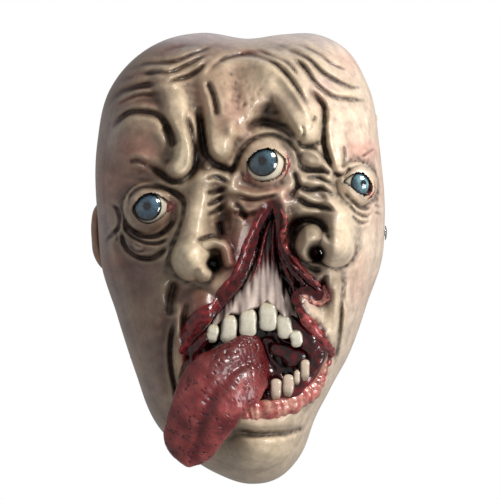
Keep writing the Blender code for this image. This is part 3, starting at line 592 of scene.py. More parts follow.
ROLLS = (
    Roll(((-60, 92), (-55, 84), (-51, 72), (-47, 60), (-45, 48), (-46, 38), (-50, 31)), (8.5, 8.0), (5, 13), 4),
    Roll(((-26, 96), (-24, 84), (-22, 70), (-22, 58), (-22, 46)), (12, 9.5), (5, 13), 4),
    Roll(((6, 98), (2, 84), (-4, 70), (-10, 58)), (12, 7), (4, 8), 3),
    Roll(((14, 100), (24, 86), (32, 72), (37, 60)), (13, 11), (4, 14), 4),
    Roll(((40, 92), (46, 80), (50, 70)), (6, 4), (3, 3)),
    Roll(((56, 66), (56, 54), (58, 42), (59, 33)), (8, 5.5), (2.5, 7), 4),
    Roll(((-98, 52), (-90, 62), (-78, 66), (-66, 63), (-58, 52)), (9, 8), (4, 4)),
    Roll(((-100, 70), (-88, 82), (-70, 87), (-56, 89)), (5, 4), (2.5, 2.5)),
    Roll(((-90, 91), (-72, 97), (-52, 98), (-36, 105)), (5, 4), (2.2, 2.5)),
    Roll(((-84, 99), (-70, 104), (-50, 108), (-30, 118)), (5, 5), (1.5, 2.5)),
    Roll(((-14, 104), (2, 104), (16, 98), (28, 85), (36, 74)), (5, 4), (2, 3)),
    Roll(((2, 111), (16, 107), (28, 98), (36, 86)), (4, 4), (2.5, 3)),
    Roll(((24, 110), (34, 102), (44, 90), (56, 82), (76, 82)), (5, 5), (2.5, 3)),
    Roll(((28, 115), (44, 104), (58, 95), (72, 91)), (5, 5), (2.5, 3)),
    Roll(((40, 117), (54, 108), (68, 102)), (5, 5), (1.5, 2)),
    Roll(((55, 71), (66, 68), (78, 70)), (4, 5), (1.5, 1.5)),
    Roll(((32, 45), (40, 46), (47, 41), (48, 34)), (5, 5), (2.5, 2), 3),
    Roll(((-45, 20), (-36, 24), (-24, 25), (-14, 22)), (5, 4), (3, 3)),
    Roll(((-90, -3), (-89, -14), (-82, -23), (-72, -26), (-60, -20)), (4.5, 4), (2, 2)),
    Roll(((-86, -7), (-79, -17), (-68, -20), (-58, -15)), (3, 3), (2.2, 2.2)),
    Roll(((-98, 0), (-96, -10), (-98, -20)), (4, 5), (2, 2.5)),
    Roll(((-104, -12), (-98, -20), (-96, -32)), (4, 5), (2, 2)),
    Roll(((64, 14), (70, 6), (78, 2), (83, 6)), (3, 3), (2.5, 2)),
    Roll(((66, 6), (72, -1), (79, -4), (84, 0)), (3, 3), (1.8, 1.8)),
    Roll(((34, 24), (44, 21), (52, 17)), (3.2, 3), (3.5, 3)),
    Roll(((32, 15), (40, 11), (50, 9)), (3.2, 3), (3.5, 3)),
    Roll(((26, 8), (36, 2), (48, 2)), (4, 4), (2, 2.5)),
    Roll(((52, -40), (58, -52), (59, -66), (55, -84)), (6, 8), (9, 5), 3),
    Roll(((34, -62), (41, -72), (47, -83)), (7, 6), (4, 3)),
    Roll(((-54, -62), (-51, -84), (-52, -106), (-53, -124)), (5, 5), (4, 3)),
    Roll(((-64, -48), (-66, -72), (-64, -100), (-60, -128)), (8, 7), (4, 3)),
    Roll(((-8, -141), (8, -143), (24, -139), (36, -131)), (6, 5), (5, 4)),
    Roll(((-16, 17), (0, 15), (14, 15), (24, 20)), (3.5, 3.5), (3, 3.5)),
    Roll(((-16, 6), (-4, 4), (6, 6)), (4, 3), (2.5, 2)),
    Roll(((20, 12), (22, 2), (22, -12)), (3.5, 3), (3, 3)),
    Roll(((26, -34), (38, -44), (50, -54)), (5, 5), (3, 4)),
    Roll(((-8, -8), (-12, -22), (-14, -36), (-26, -48)), (5, 6), (3, 3)),
)

CREASES = (
    Crease(((-90, 97), (-73, 103), (-54, 104.5), (-40, 110), (-25, 116)), 1.5, 3.0),
    Crease(((-62, 112), (-54, 114), (-44, 116)), 1.2, 1.2, dark=0.5, red=0.4),
    Crease(((-78, 96), (-65, 97), (-55, 97.5), (-43, 103), (-30, 110)), 1.6, 3.2),
    Crease(((-96, 86), (-88, 92), (-80, 95)), 1.3, 1.8, dark=0.6),
    Crease(((-59, 90), (-52, 92), (-43, 94.5), (-36, 99), (-31, 105)), 1.4, 3.0),
    Crease(((-105, 57), (-100, 72), (-93, 81), (-81, 86.5), (-62, 90)), 2.0, 4.0),
    Crease(((-93, 75), (-84, 79.5), (-76, 82), (-64, 82)), 1.1, 1.2, dark=0.35, red=0.7),
    Crease(((-96, 58), (-88, 67), (-80, 70), (-66, 68.5), (-59, 63), (-52, 50)), 2.0, 4.5),
    Crease(((-60, 62), (-56, 55), (-52, 46)), 3.0, 3.5, dark=0.9),
    Crease(((-43, 72), (-44, 66), (-41, 56), (-38.5, 42), (-40, 31), (-46, 25), (-54, 23.5), (-63, 29), (-71, 35)),
           2.2, 6.0),
    Crease(((-71, 34), (-78, 37), (-84, 36)), 1.6, 2.0, dark=0.6),
    Crease(((-36, 72), (-35, 60), (-31.5, 44), (-25, 35), (-14, 31), (-9, 38)), 2.2, 6.0),
    Crease(((-31, 92), (-27, 82), (-25, 74), (-24, 66)), 1.9, 3.5),
    Crease(((-30, 97), (-24, 103), (-15, 108), (0, 109), (14, 104), (23, 96), (31, 85), (37, 75), (42, 66)),
           1.7, 3.2, dark=0.8),
    Crease(((2, 113.5), (14.5, 108), (23, 104), (29, 98), (32, 93)), 1.3, 2.4),
    Crease(((-12, 110), (4, 111), (14, 108)), 1.3, 1.4, dark=0.2, red=0.8),
    Crease(((26, 109), (35, 101), (42, 91), (50, 83.5), (59, 79.5), (80, 78)), 1.7, 3.4),
    Crease(((20, 115), (37, 107), (48, 97), (59, 90.5), (68, 87), (78, 87.5)), 1.4, 2.8),
    Crease(((33, 116), (45.5, 110), (55, 103), (66, 98.5)), 1.4, 2.4, dark=0.7),
    Crease(((40, 85), (45, 79), (49, 72), (48.5, 59), (49.5, 45), (54, 33), (58, 26)), 2.0, 6.5),
    Crease(((62, 48), (63, 40), (62, 31)), 1.4, 3.0, dark=0.7),
    Crease(((56, 28), (61, 27), (67, 33)), 1.3, 2.0, dark=0.7),
    Crease(((75, 40), (80, 43), (84, 46)), 1.0, 1.4, dark=0.5),
    Crease(((40, 64.5), (42.5, 65), (43.5, 68)), 1.6, 2.5, dark=0.7),
    Crease(((34, 52), (35, 57), (33, 61)), 1.0, 1.2, dark=0.5),
    Crease(((30, 52), (34, 47.5), (42, 47.5), (47, 50)), 1.6, 4.0),
    Crease(((33, 33), (40, 30.5), (48, 30), (54, 27)), 2.2, 5.0),
    Crease(((33, 46), (40, 45.5), (46, 42), (50, 37)), 1.2, 2.0, dark=0.7),
    Crease(((-6, 58), (2, 62), (12, 62), (24, 58), (31, 49)), 3.0, 5.0),
    Crease(((-97, 8), (-92, 4), (-90, -4), (-93, -12), (-100, -18)), 1.3, 2.2, dark=0.6),
    Crease(((-100, -19), (-96, -13), (-91, -9)), 1.3, 1.8, dark=0.6),
    Crease(((-92, -12), (-92, -18)), 1.1, 1.4, dark=0.5),
    Crease(((-85, 2), (-86, -6), (-80, -12), (-73, -15), (-64, -14), (-56, -8), (-51, -1)), 1.4, 3.2),
    Crease(((-88, -3), (-86, -10), (-79, -16), (-72, -19), (-63, -19), (-56, -15)), 1.3, 2.8),
    Crease(((-90, -9), (-87, -20), (-80, -27), (-70, -29.5), (-62, -26), (-56, -20)), 1.6, 3.0),
    Crease(((-84, -20), (-79, -24.5), (-73, -25)), 1.0, 1.4, dark=0.6),
    Crease(((-84, 5), (-83, 13), (-76, 18.5), (-66, 19.5), (-56, 17), (-47, 9)), 1.5, 2.8),
    Crease(((-52, -44), (-55, -54), (-56, -70)), 3.2, 3.5, dark=0.8),
    Crease(((-53, -72), (-55.5, -88), (-55, -104), (-51.5, -122), (-50, -134)), 1.5, 4.5),
    Crease(((-44, -58), (-46, -72), (-47, -86)), 2.0, 2.0, dark=0.6),
    Crease(((-60, 17), (-52, 16), (-46, 8), (-49, -8), (-55, -24), (-58, -38)), 1.6, 3.0, dark=0.7),
    Crease(((-32, 24), (-25, 26), (-16, 22)), 1.5, 2.0, dark=0.6),
    Crease(((-38, -19), (-34, -16), (-26, -15), (-19, -17)), 1.3, 2.5, dark=0.85),
    Crease(((-23, -4), (-22, -10), (-21, -15)), 2.2, 4.0),
    Crease(((-31, 15), (-24, 16), (-19, 18)), 1.3, 2.5),
    Crease(((-31, 6.5), (-25, 9), (-20, 13)), 1.3, 2.5),
    Crease(((-30, 0), (-24, 3), (-20, 6)), 1.3, 2.0),
    Crease(((-13, 8), (-8, 4), (-4, -4)), 1.6, 2.5, dark=0.8),
    Crease(((28, 30), (31, 20), (26, 12)), 1.4, 2.5),
    Crease(((30, 20), (38, 17), (48, 18), (56, 12)), 1.5, 3.5),
    Crease(((31, 12), (38, 7), (50, 5), (56, 2)), 1.5, 3.0),
    Crease(((36, 26), (46, 25), (55, 20)), 1.4, 3.0),
    Crease(((27, -22), (27, -10), (33, -4), (42, -4), (50, -10), (53, -22)), 2.6, 5.5, dark=0.95),
    Crease(((27, -22), (31, -30), (40, -36), (49, -38)), 2.4, 4.5),
    Crease(((62, -40), (61, -55), (60.5, -68), (59, -86), (56, -104)), 1.7, 5.0),
    Crease(((64, -44), (63, -56), (65, -66)), 1.3, 1.5, dark=0.5),
    Crease(((50, -40), (49, -44), (48, -50)), 2.0, 3.0, dark=0.8),
    Crease(((61, 21), (66, 30), (74, 34), (82, 30), (85.5, 21), (85, 12)), 1.2, 2.2, dark=0.8),
    Crease(((62, 16), (68, 10), (75, 4.5), (82, 5)), 1.2, 2.4, dark=0.75),
    Crease(((65, 8), (70, 2), (77, -1), (82, 2)), 1.2, 2.0, dark=0.7),
    Crease(((67, 1), (73, -5), (80, -5)), 1.2, 1.6, dark=0.6),
    Crease(((83, 7), (90, 5)), 1.0, 1.6, dark=0.6),
    Crease(((83, 2), (91, 0)), 1.0, 1.6, dark=0.6),
    Crease(((-16, 22), (-12, 34), (-5, 46), (4, 52.5), (14, 54.5), (23, 51), (30, 44), (33, 34)), 1.4, 2.5, dark=0.8),
    Crease(((-10, 13), (0, 10.5), (10, 12), (18, 14)), 1.3, 2.2, dark=0.6, red=0.4),
    Crease(((-14, 2), (-4, 0), (4, 2)), 1.4, 2.0, dark=0.7, red=0.4),
    Crease(((-12, -146), (0, -149), (14, -149), (30, -147), (38, -142)), 2.2, 3.6, dark=0.12),
    Crease(((34, -136), (40, -130), (44, -122)), 1.4, 2.0, dark=0.5),
)

KNOBS = (
    Knob((-78, 48), (24, 24), 7, power=1.3),
    Knob((-72, 28), (16, 8), -3, power=1.5),
    Knob((5, -166), (28, 20), 12, power=1.2),
    Knob((41, 38), (8, 7), 7, power=0.7),
    Knob((-88, -50), (20, 40), 3, power=1.5),
    Knob((76, -20), (18, 34), 4, power=1.5),
    Knob((10, 68), (13, 10), -7, power=1.5),
    Knob((-34, -66), (13, 18), 8, 30, power=1.0),
    Knob((-20, -2), (7, 16), -5, power=1.3),
    Knob((-34, 50), (5, 20), -5, power=1.3),
    Knob((29, -14), (8, 16), -7, power=1.3),
    Knob((-30, 34), (3.5, 3), 2.5, power=0.8),
)

MOUTH: Path = (
    (15, 8), (9, 0), (4, -10), (1, -22), (-5, -36), (-13, -50), (-22, -60), (-34, -76), (-44, -88), (-46, -100),
    (-42, -116), (-28, -128), (-8, -132), (12, -131), (30, -124), (42, -112), (49, -98), (50, -89), (43, -80),
    (34, -66), (28, -56), (37, -50), (45, -55), (45, -50), (36, -42), (27, -32), (21, -22), (18, -8),
)


@dataclass
class Sculpt:
    """The modelled face over the head form: how far it stands forwards, and how it is painted."""

    form: HeadForm
    eyes: tuple["Eye", ...]
    rng: np.random.Generator = field(default_factory=lambda: np.random.default_rng(7))
    roll_gain: float = 1.25
    cut_gain: float = 1.45
    lip_gain: float = 1.7

    def noses(self, x: Array, z: Array) -> Array:
        """Both noses: bridge rolls and rounded bosses joined by smooth maxima, with the nostrils sunk in."""
        left = self.roll(Roll(((-33, 24), (-36, 8), (-40, -12), (-42, -26)), (8, 13), (9, 29), 2.6), x, z)
        left = smooth_max(left, self.knob(Knob((-41.5, -29), (14.5, 16.5), 32, 8, 0.5), x, z), 2.5)
        left = smooth_max(left, self.knob(Knob((-34, -38), (7, 8), 30, 20, 0.5), x, z), 2.0)
        wing = self.roll(Roll(((-33, -21), (-26, -19), (-19, -22), (-16, -32)), (5.2, 3.4), (25, 17), 3), x, z)
        left = smooth_max(left, wing, 1.5)
        left -= 17 * np.exp(-(((x + 26.5) / 5.2) ** 2 + ((z + 33) / 5.2) ** 2) ** 1.6)
        right = self.roll(Roll(((54, 28), (58, 14), (60, -2), (59, -18)), (7, 11), (8, 29), 3.0), x, z)
        right = smooth_max(right, self.knob(Knob((57, -21), (13.5, 15), 34, 0, 0.5), x, z), 2.5)
        wing = self.knob(Knob((40, -19), (11, 13.5), 24, -25, 0.55), x, z)
        right = smooth_max(right, wing, 1.5)
        right -= 19 * np.exp(-(((x - 43.5) / 7.2) ** 2 + ((z + 26) / 6.2) ** 2) ** 1.5)
        return left + right - 2.0

    def roll(self, roll: Roll, x: Array, z: Array) -> Array:
        """Height of one roll: its height times exp(-(distance / half width) to its power)."""
        path = curve_through(roll.path, 4)
        near = self.near(path, max(roll.wide) * 2.2, x, z)
        total = np.zeros(x.shape)
        far, share = distance_to(path, x[near], z[near])
        wide, high = (first + (last - first) * share for first, last in (roll.wide, roll.high))
        total[near] = high * np.exp(-((far / wide) ** roll.power))
        return total

    def knob(self, knob: Knob, x: Array, z: Array) -> Array:
        """Height of one boss: its height times (1 - radius squared) to its power, inside its ellipse."""
        turn = math.radians(knob.turn)
        dx, dz = x - knob.at[0], z - knob.at[1]
        a = (dx * math.cos(turn) + dz * math.sin(turn)) / knob.half[0]
        b = (dz * math.cos(turn) - dx * math.sin(turn)) / knob.half[1]
        return knob.high * np.clip(1 - a * a - b * b, 0, 1) ** knob.power

    def near(self, path: Array, reach: float, x: Array, z: Array) -> Array:
        """Which places are within reach of a path's box."""
        low, high = path.min(0) - reach, path.max(0) + reach
        return (x > low[0]) & (x < high[0]) & (z > low[1]) & (z < high[1])

    def creases(self, x: Array, z: Array) -> tuple[Array, Array, Array]:
        """All furrows.

        Args:
            x: Places' x.
            z: Places' z.

        Returns:
            Depth to take off, darkness of the wash and painted shade, and redness of the wash.
        """
        deep, dark, red = np.zeros(x.shape), np.zeros(x.shape), np.zeros(x.shape)
        for crease in CREASES:
            path = curve_through(crease.path, 5)
            near = self.near(path, crease.wide * 7, x, z)
            far, share = distance_to(path, x[near], z[near])
            fade = 0.15 + 0.85 * smoothstep(0, crease.ends, share) * smoothstep(0, crease.ends, 1 - share)
            line = bell(far / crease.wide) * fade
            swell = bell((far - 2.1 * crease.wide) / (1.2 * crease.wide)) * fade
            deep[near] += self.cut_gain * crease.deep * line - self.lip_gain * crease.lip * swell
            uneven = 0.85 + 0.15 * np.sin(share * 17.0 + path[0, 0])
            # painted shade and dark wash along the furrow: a narrow dark core and a broad soft falloff
            soft = 0.55 * bell(far / (crease.wide * 0.8)) + 0.42 * bell(far / (crease.wide * 3.0))
            dark[near] = np.maximum(dark[near], crease.dark * soft * fade * uneven)
            red[near] = np.maximum(red[near], crease.red * bell(far / (crease.wide * 2)) * fade)
        return deep, dark, red

    def stands(self, x: Array, z: Array) -> Array:
        """How far the plain modelling, without furrows or eyelids, stands forwards of the form."""
        total = self.roll_gain * sum((self.roll(one, x, z) for one in ROLLS), np.zeros(x.shape))
        total = total + sum((self.knob(one, x, z) for one in KNOBS), np.zeros(x.shape))
        return total + self.noses(x, z)

    def surface(self, x: Array, y: Array, z: Array) -> tuple[Array, Array, Array]:
        """y of the modelled skin at places on the form.

        Args:
            x: Places' x.
            y: The plain form's y.
            z: Places' z.

        Returns:
            The skin's y, and the darkness and redness of its furrows.
        """
        edge = smoothstep(1.0, 0.86, self.form.share(x, z)) * (y < self.form.widest_y)
        skin = y - self.stands(x, z) * edge
        for eye in self.eyes:
            skin = eye.lids_over(skin, x, z)
        deep, dark, red = self.creases(x, z)
        return skin + deep * np.maximum(edge, 0.25 * (y < self.form.widest_y)), dark, red

    def skin_y(self, x: Array, z: Array) -> Array:
        """y of the modelled skin's front at places."""
        return self.surface(x, self.form.front(x, z), z)[0]


@dataclass(frozen=True)
class Eye:
    """One eye: its ball, from the frame, the opening of its lids, and where it looks."""

    name: str
    middle: Array
    radius: float
    gaze: Array
    opening: Path
    iris: tuple[int, int, int]
    rim: tuple[int, int, int]
    lid: float = 2.2

    @staticmethod
    def from_frame(name: str, opening: Path, iris: tuple[int, int, int], rim: tuple[int, int, int]) -> "Eye":
        """Reads an eye's ball and gaze from its dome and lens.

        Args:
            name: left, middle or right.
            opening: The lids' opening, in millimetres.
            iris: Display colour of the iris.
            rim: Display colour of its rim.

        Returns:
            The eye, with lengths in millimetres.
        """
        dome_low, dome_high = box_of(f"eye_{name}_dome")
        lens_low, lens_high = box_of(f"eye_{name}_lens")
        radius = (dome_high[2] - dome_low[2]) / 2
        side = dome_high[0] - radius if name == "right" else dome_low[0] + radius
        middle = np.array([side, 0.0, (dome_low[2] + dome_high[2]) / 2])
        middle[1] = lens_low[1] + radius + 0.5
        gaze = (lens_low + lens_high) / 2 - middle
        return Eye(name, middle, radius, gaze / np.linalg.norm(gaze), opening, iris, rim)

    def ball_y(self, x: Array, z: Array, extra: float) -> Array:
        """y of the front of a ball that is larger by extra, and far behind outside it."""
        room = (self.radius + extra) ** 2 - (x - self.middle[0]) ** 2 - (z - self.middle[2]) ** 2
        return np.where(room > 0, self.middle[1] - np.sqrt(np.maximum(room, 0)), self.middle[1] + 60)

    def lids_over(self, skin: Array, x: Array, z: Array) -> Array:
        """Skin drawn over the ball: the smooth nearest to the viewer of the skin and a larger ball."""
        lid = self.ball_y(x, z, self.lid)
        reach = np.hypot(x - self.middle[0], z - self.middle[2]) < self.radius + self.lid
        close = smoothstep(self.radius + 9, self.radius - 1, np.hypot(x - self.middle[0], z - self.middle[2]))
        flat = skin + (np.maximum(skin, self.middle[1] - 0.55 * self.radius) - skin) * close
        return np.where(reach, -smooth_max(-flat, -lid, 1.5), flat)

    def edge(self) -> Array:
        """The opening's smooth outline."""
        return curve_through(self.opening, 12, closed=True)


LEFT_OPENING: Path = ((-82.5, 3), (-79, 10.5), (-72, 15.5), (-65, 15.5), (-57, 11), (-50, 6), (-57, 1), (-63, -4),
                      (-70, -7), (-77.5, -4.5))
MIDDLE_OPENING: Path = ((-4.5, 26), (-4.5, 36), (0.5, 43), (9, 46.5), (17, 45), (23.5, 39), (23.8, 31), (18, 24),
                        (9, 21.5), (1, 22.5))
RIGHT_OPENING: Path = ((61, 22.5), (66, 27.5), (72, 30), (78, 28), (82.5, 21), (81.5, 14), (77, 12), (71, 14.5),
                       (65, 19.5))
NOSTRIL_HOLES = ((-26.5, -33.5, 2.6), (44.0, -26.5, 3.6))


@dataclass
class Palette:
    """Display colours of the skin's paint, with its painted shade and painted highlight."""

    ivory: Array = field(default_factory=lambda: rgb(228, 208, 176))
    tan: Array = field(default_factory=lambda: rgb(172, 144, 120))
    cream: Array = field(default_factory=lambda: rgb(232, 210, 188))
    mauve: Array = field(default_factory=lambda: rgb(112, 86, 82))
    olive: Array = field(default_factory=lambda: rgb(92, 74, 58))
    # dark of the paint's wash, also laid in the hollows, furrows, ear and hole edges as painted shade
    wash_and_shade: Array = field(default_factory=lambda: rgb(30, 20, 18))
    rust: Array = field(default_factory=lambda: rgb(150, 84, 62))
    pink: Array = field(default_factory=lambda: rgb(214, 150, 138))
    blood: Array = field(default_factory=lambda: rgb(92, 18, 22))
    lilac: Array = field(default_factory=lambda: rgb(172, 156, 160))


# where the paint changes: (x, z, half width, half height, strength)
# ivory patches: painted highlights on the tops of the noses, brow rolls, cheek roll and chin
IVORY_HIGHLIGHT_SPOTS = ((-42, -28, 15, 16, 1.0), (-36, 2, 8, 22, 0.8), (-47, 40, 7, 16, 1.0), (-49, 76, 9, 12, 0.8),
               (36, 58, 13, 10, 0.8), (63, -10, 7, 26, 0.7), (-20, 48, 6, 6, 0.6), (55, 45, 6, 14, 0.5),
               (10, -165, 30, 20, 0.7), (50, -70, 9, 22, 0.8), (14, 90, 16, 16, 0.5))
# mauve patches: the paint's mauve wash, laid heaviest on the viewer's left side and top left edge as painted shade
MAUVE_WASH_AND_SHADE_SPOTS = ((-85, -30, 26, 60, 0.95), (-62, -92, 16, 40, 0.9), (-80, 20, 26, 20, 0.5), (-88, 88, 30, 26, 0.7),
               (-96, 30, 16, 60, 0.6), (-60, -70, 20, 46, 0.7), (-50, 115, 40, 10, 0.6),
               (-74, 48, 20, 14, 0.35), (-66, -130, 18, 30, 0.5), (-30, -5, 30, 60, 0.2))
# olive patches: painted shade in the hollows beside the noses, under the brow and round the tear
OLIVE_SHADE_SPOTS = ((56, -44, 10, 5, 0.7), (-4, 14, 22, 7, 0.5), (26, -4, 10, 22, 1.0), (36, 0, 16, 34, 0.9),
               (-22, 10, 12, 30, 0.9), (-8, -2, 12, 18, 0.9), (-57, -56, 7, 22, 0.9),
               (44, 36, 10, 10, 0.6), (-34, 40, 6, 28, 0.8), (10, 66, 14, 12, 0.7), (-12, -150, 10, 20, 0.6))
RUST_SPOTS = ((-78, 44, 12, 9, 0.5), (-100, 20, 8, 16, 0.6), (-96, -34, 9, 12, 0.6), (-72, 92, 14, 6, 0.4),
              (-70, 76, 8, 6, 0.35), (5, 16, 14, 4, 0.5), (-62, -72, 10, 8, 0.3), (-68, -2, 22, 22, 0.12))
PINK_SPOTS = ((76, 44, 12, 8, 0.7), (72, -44, 9, 20, 0.35), (66, 106, 12, 10, 0.35), (47, 84, 8, 10, 0.3),
              (-80, 40, 14, 12, 0.35), (-18, -28, 4, 8, 0.9), (84, 20, 8, 30, 0.3), (46, -54, 8, 8, 0.8),
              (22, 8, 5, 12, 0.7), (-36, 78, 7, 8, 0.4), (-10, 72, 10, 18, 0.3), (38, -84, 10, 8, 0.5),
              (20, 17, 12, 4, 0.6))
LILAC_SPOTS = ((-40, 122, 50, 8, 0.7), (40, 122, 40, 7, 0.6), (-94, 56, 8, 16, 0.5), (24, -2, 5, 8, 0.7),
               (50, 90, 8, 5, 0.5), (-100, 5, 8, 20, 0.4), (-26, 34, 4, 4, 0.5))
BLOOD_SPOTS = ((-10, -30, 12, 26, 0.9), (-34, -66, 12, 18, 0.9), (-2, -2, 8, 12, 0.7), (44, -62, 6, 6, 0.3),
               (24, -26, 6, 14, 0.8), (36, -72, 7, 12, 0.6), (-12, 0, 10, 12, 0.5))


def spots(table: tuple[tuple[float, ...], ...], x: Array, z: Array, rough: Array) -> Array:
    """Strength of soft patches of airbrushed colour and of painted highlight and shade: the largest of exp(-(scaled
    distance squared)), with rough edges.

    Args:
        table: Rows of x, z, half width, half height and strength.
        x: Places' x.
        z: Places' z.
        rough: Noise that breaks up the edges.

    Returns:
        Strength from 0 to 1.
    """
    total = np.zeros(x.shape)
    for at_x, at_z, half_x, half_z, strength in table:
        far2 = ((x - at_x) / half_x) ** 2 + ((z - at_z) / half_z) ** 2
        total = np.maximum(total, strength * np.exp(-far2 * (1 + 0.5 * rough)))
    return np.clip(total, 0, 1)


@dataclass
class FaceSkin:
    """The cast latex shell: the painted outer skin and the raw latex inside."""

    sculpt: Sculpt
    columns: int = 285
    rows: int = 345
    wall: float = 2.2
    mouth_inset: float = 1.2
    lid_inset: float = 0.3
    far_off: float = 9.0  # the distance to a hole is cut off here
    pits: int = 70
    palette: Palette = field(default_factory=Palette)

    def outer(self) -> Piece:
        """Builds and paints the outer skin, with its mouth, eyes and nostrils open."""
        form = self.sculpt.form
        columns, rows = ((self.columns, self.rows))
        x, y, z = form.grid(columns, rows)
        skin, dark, red = (a.reshape(x.shape) for a in self.sculpt.surface(x.ravel(), y.ravel(), z.ravel()))
        skin = skin + self.pocks(x, z)
        mouth = inside_outline(curve_through(MOUTH, 5, closed=True), x, z) + self.mouth_inset
        openings = [np.full(x.shape, self.far_off), mouth]
        openings += [inside_outline(eye.edge(), x, z) + self.lid_inset for eye in self.sculpt.eyes]
        openings += [np.hypot(x - at_x, z - at_z) - radius for at_x, at_z, radius in NOSTRIL_HOLES]
        hole = np.where(y < form.widest_y - 4, np.minimum.reduce(openings), self.far_off)
        points = np.stack([x, skin, z], -1)
        piece, used = self.sheet("skin_outer", points, hole, 0.0, False)
        colour, wet = self.paint(x, skin, z, dark, red, mouth)
        set_colour(piece, colour.reshape(-1, 3)[used], wet.ravel()[used])
        self.inner_points(points, hole)
        return piece

    def sheet(self, name: str, points: Array, hole: Array, least: float, flip: bool) -> tuple:
        """Makes an open sheet from a grid, without the quads that lie wholly inside a hole.

        Args:
            name: The piece's name.
            points: Grid of points in millimetres.
            hole: Distance of each point to the nearest hole, negative inside.
            least: Quads with every distance below this are left out.
            flip: Whether to turn the faces over.

        Returns:
            The piece, and which points it uses.
        """
        quads = grid_quads(*points.shape[:2], flip=flip)
        quads = quads[(hole.ravel()[quads] > least).any(axis=1)]
        used, number = np.unique(quads, return_inverse=True)
        return mesh_piece(name, points.reshape(-1, 3)[used], number.reshape(quads.shape)), used

    def inner_points(self, points: Array, hole: Array) -> None:
        """Works out the inside: the skin's farthest back neighbour, softened, then set in by the wall.

        Args:
            points: Grid of the outer skin's points.
            hole: Distance of each point to the nearest hole.
        """
        y = points[..., 1].copy()
        for _ in range(3):
            y[1:-1, 1:-1] = np.maximum.reduce([y[1:-1, 1:-1], y[:-2, 1:-1], y[2:, 1:-1], y[1:-1, :-2], y[1:-1, 2:]])
        front = points[..., 1] < self.sculpt.form.widest_y - 2
        soft = np.stack([points[..., 0], np.where(front, y, points[..., 1]), points[..., 2]], -1)
        soft, hole = soft[::2, ::2], hole[::2, ::2]
        for _ in range(3):
            mean = (soft[:-2, 1:-1] + soft[2:, 1:-1] + soft[1:-1, :-2] + soft[1:-1, 2:]) / 4
            soft[1:-1, 1:-1, 1] = np.maximum(mean[..., 1], soft[1:-1, 1:-1, 1])
        down, right = np.gradient(soft, axis=0), np.gradient(soft, axis=1)
        normal = unit(np.cross(right, down))
        inward = -normal if (normal[..., 1] < 0).mean() > 0.5 else normal
        inner = soft + inward * self.wall
        rim = np.zeros(inner.shape[:2], bool)
        rim[0], rim[-1], rim[:, 0], rim[:, -1] = True, True, True, True
        inner[rim, 1] = self.sculpt.form.rim_y
        self.inside, self.inside_hole, self.edge = inner, hole, points

    def inner(self) -> Piece:
        """The raw latex inside, tinted a little darker where it was poured thin, with painted shade round the holes."""
        piece, used = self.sheet("skin_inner", self.inside, self.inside_hole, 3.0, True)
        flat = self.inside.reshape(-1, 3)[used]
        colour = mixed(rgb(214, 190, 150), rgb(180, 150, 110), 0.5 + 0.4 * ripple(flat, 22.0, 77))
        # painted shade: dark towards the edges of the holes
        colour = mixed(colour, self.palette.wash_and_shade, smoothstep(5.5, 4.0, self.inside_hole.ravel()[used]))
        set_colour(piece, colour, 0.0)
        return piece

    def rim(self) -> Piece:
        """The cut edge of the latex, from the outer skin's last points to the inside's."""
        def border(grid: Array) -> Array:
            """Points round a grid's edge."""
            return np.vstack([grid[0, :-1], grid[:-1, -1], grid[-1, :0:-1], grid[:0:-1, 0]])

        outer, inner = border(self.edge), border(self.inside)
        far = [np.arctan2(ring[:, 2] + 20, ring[:, 0] + 5) for ring in (outer, inner)]
        order = [np.argsort(a) for a in far]
        at = np.linspace(-np.pi, np.pi, 500, endpoint=False)
        rings = [np.stack([np.interp(at, a[o], ring[o, k], period=2 * np.pi) for k in range(3)], 1)
                 for ring, a, o in zip((outer, inner), far, order)]
        edge = (rings[0] + rings[1]) / 2 + np.array([0, 0.15, 0])
        points = np.vstack([rings[0], edge, rings[1]])
        quads = grid_quads(3, 500, wrap=True)
        normal = np.cross(points[quads[:, 1]] - points[quads[:, 0]], points[quads[:, 3]] - points[quads[:, 0]])
        piece = mesh_piece("skin_rim", points, flipped(quads) if normal[:, 1].sum() < 0 else quads)
        cloud = ripple(points + points[quads].mean(), 9.0, 78)
        set_colour(piece, mixed(rgb(222, 202, 164), rgb(190, 160, 120), 0.5 + 0.5 * cloud), 0.0)
        return piece

    def ear(self) -> Piece:
        """The sliver of an ear that shows at the viewer's left edge of the head."""
        path = curve_through(((-103.0, 9), (-106.2, 1), (-107.2, -9), (-106.8, -20), (-104.2, -30), (-99.8, -37)), 10)
        line = np.stack([path[:, 0], np.full(len(path), -3.0), path[:, 1]], 1)
        t = np.linspace(-1, 1, len(path))
        rings = tube_points(line, 3.1 * np.sqrt(np.clip(1 - t**6, 0.02, 1)), 32, 2.0, 0.1, 9.0, 41)
        piece, points = capped_roll("ear_edge", rings)
        # painted shade on the ear's inner side, where it folds against the head
        inner = smoothstep(0.5, 2.6, points[:, 0] - np.append(np.repeat(path[:, 0], 32), [path[0, 0], path[-1, 0]]))
        colour = mixed(self.palette.tan, self.palette.wash_and_shade, 0.8 * inner)
        colour = mixed(colour, self.palette.rust, 0.3 + 0.3 * ripple(points, 8.0, 42))
        set_colour(piece, colour, 0.2)
        return piece

    def pocks(self, x: Array, z: Array) -> Array:
        """Small pits pressed into the middle brow, and a fine unevenness all over."""
        total = 0.22 * ripple(np.stack([x.ravel(), z.ravel()], 1), 5.0, 3).reshape(x.shape)
        rng = self.sculpt.rng
        for _ in range(self.pits):
            at = rng.normal((-2, 78), (11, 14))
            half = rng.uniform((0.5, 0.9), (1.1, 2.4))
            deep = rng.uniform(0.4, 1.0)
            near = (np.abs(x - at[0]) < 4) & (np.abs(z - at[1]) < 8)
            far2 = ((x[near] - at[0]) / half[0]) ** 2 + ((z[near] - at[1]) / half[1]) ** 2
            total[near] += deep * np.exp(-far2)
        return total

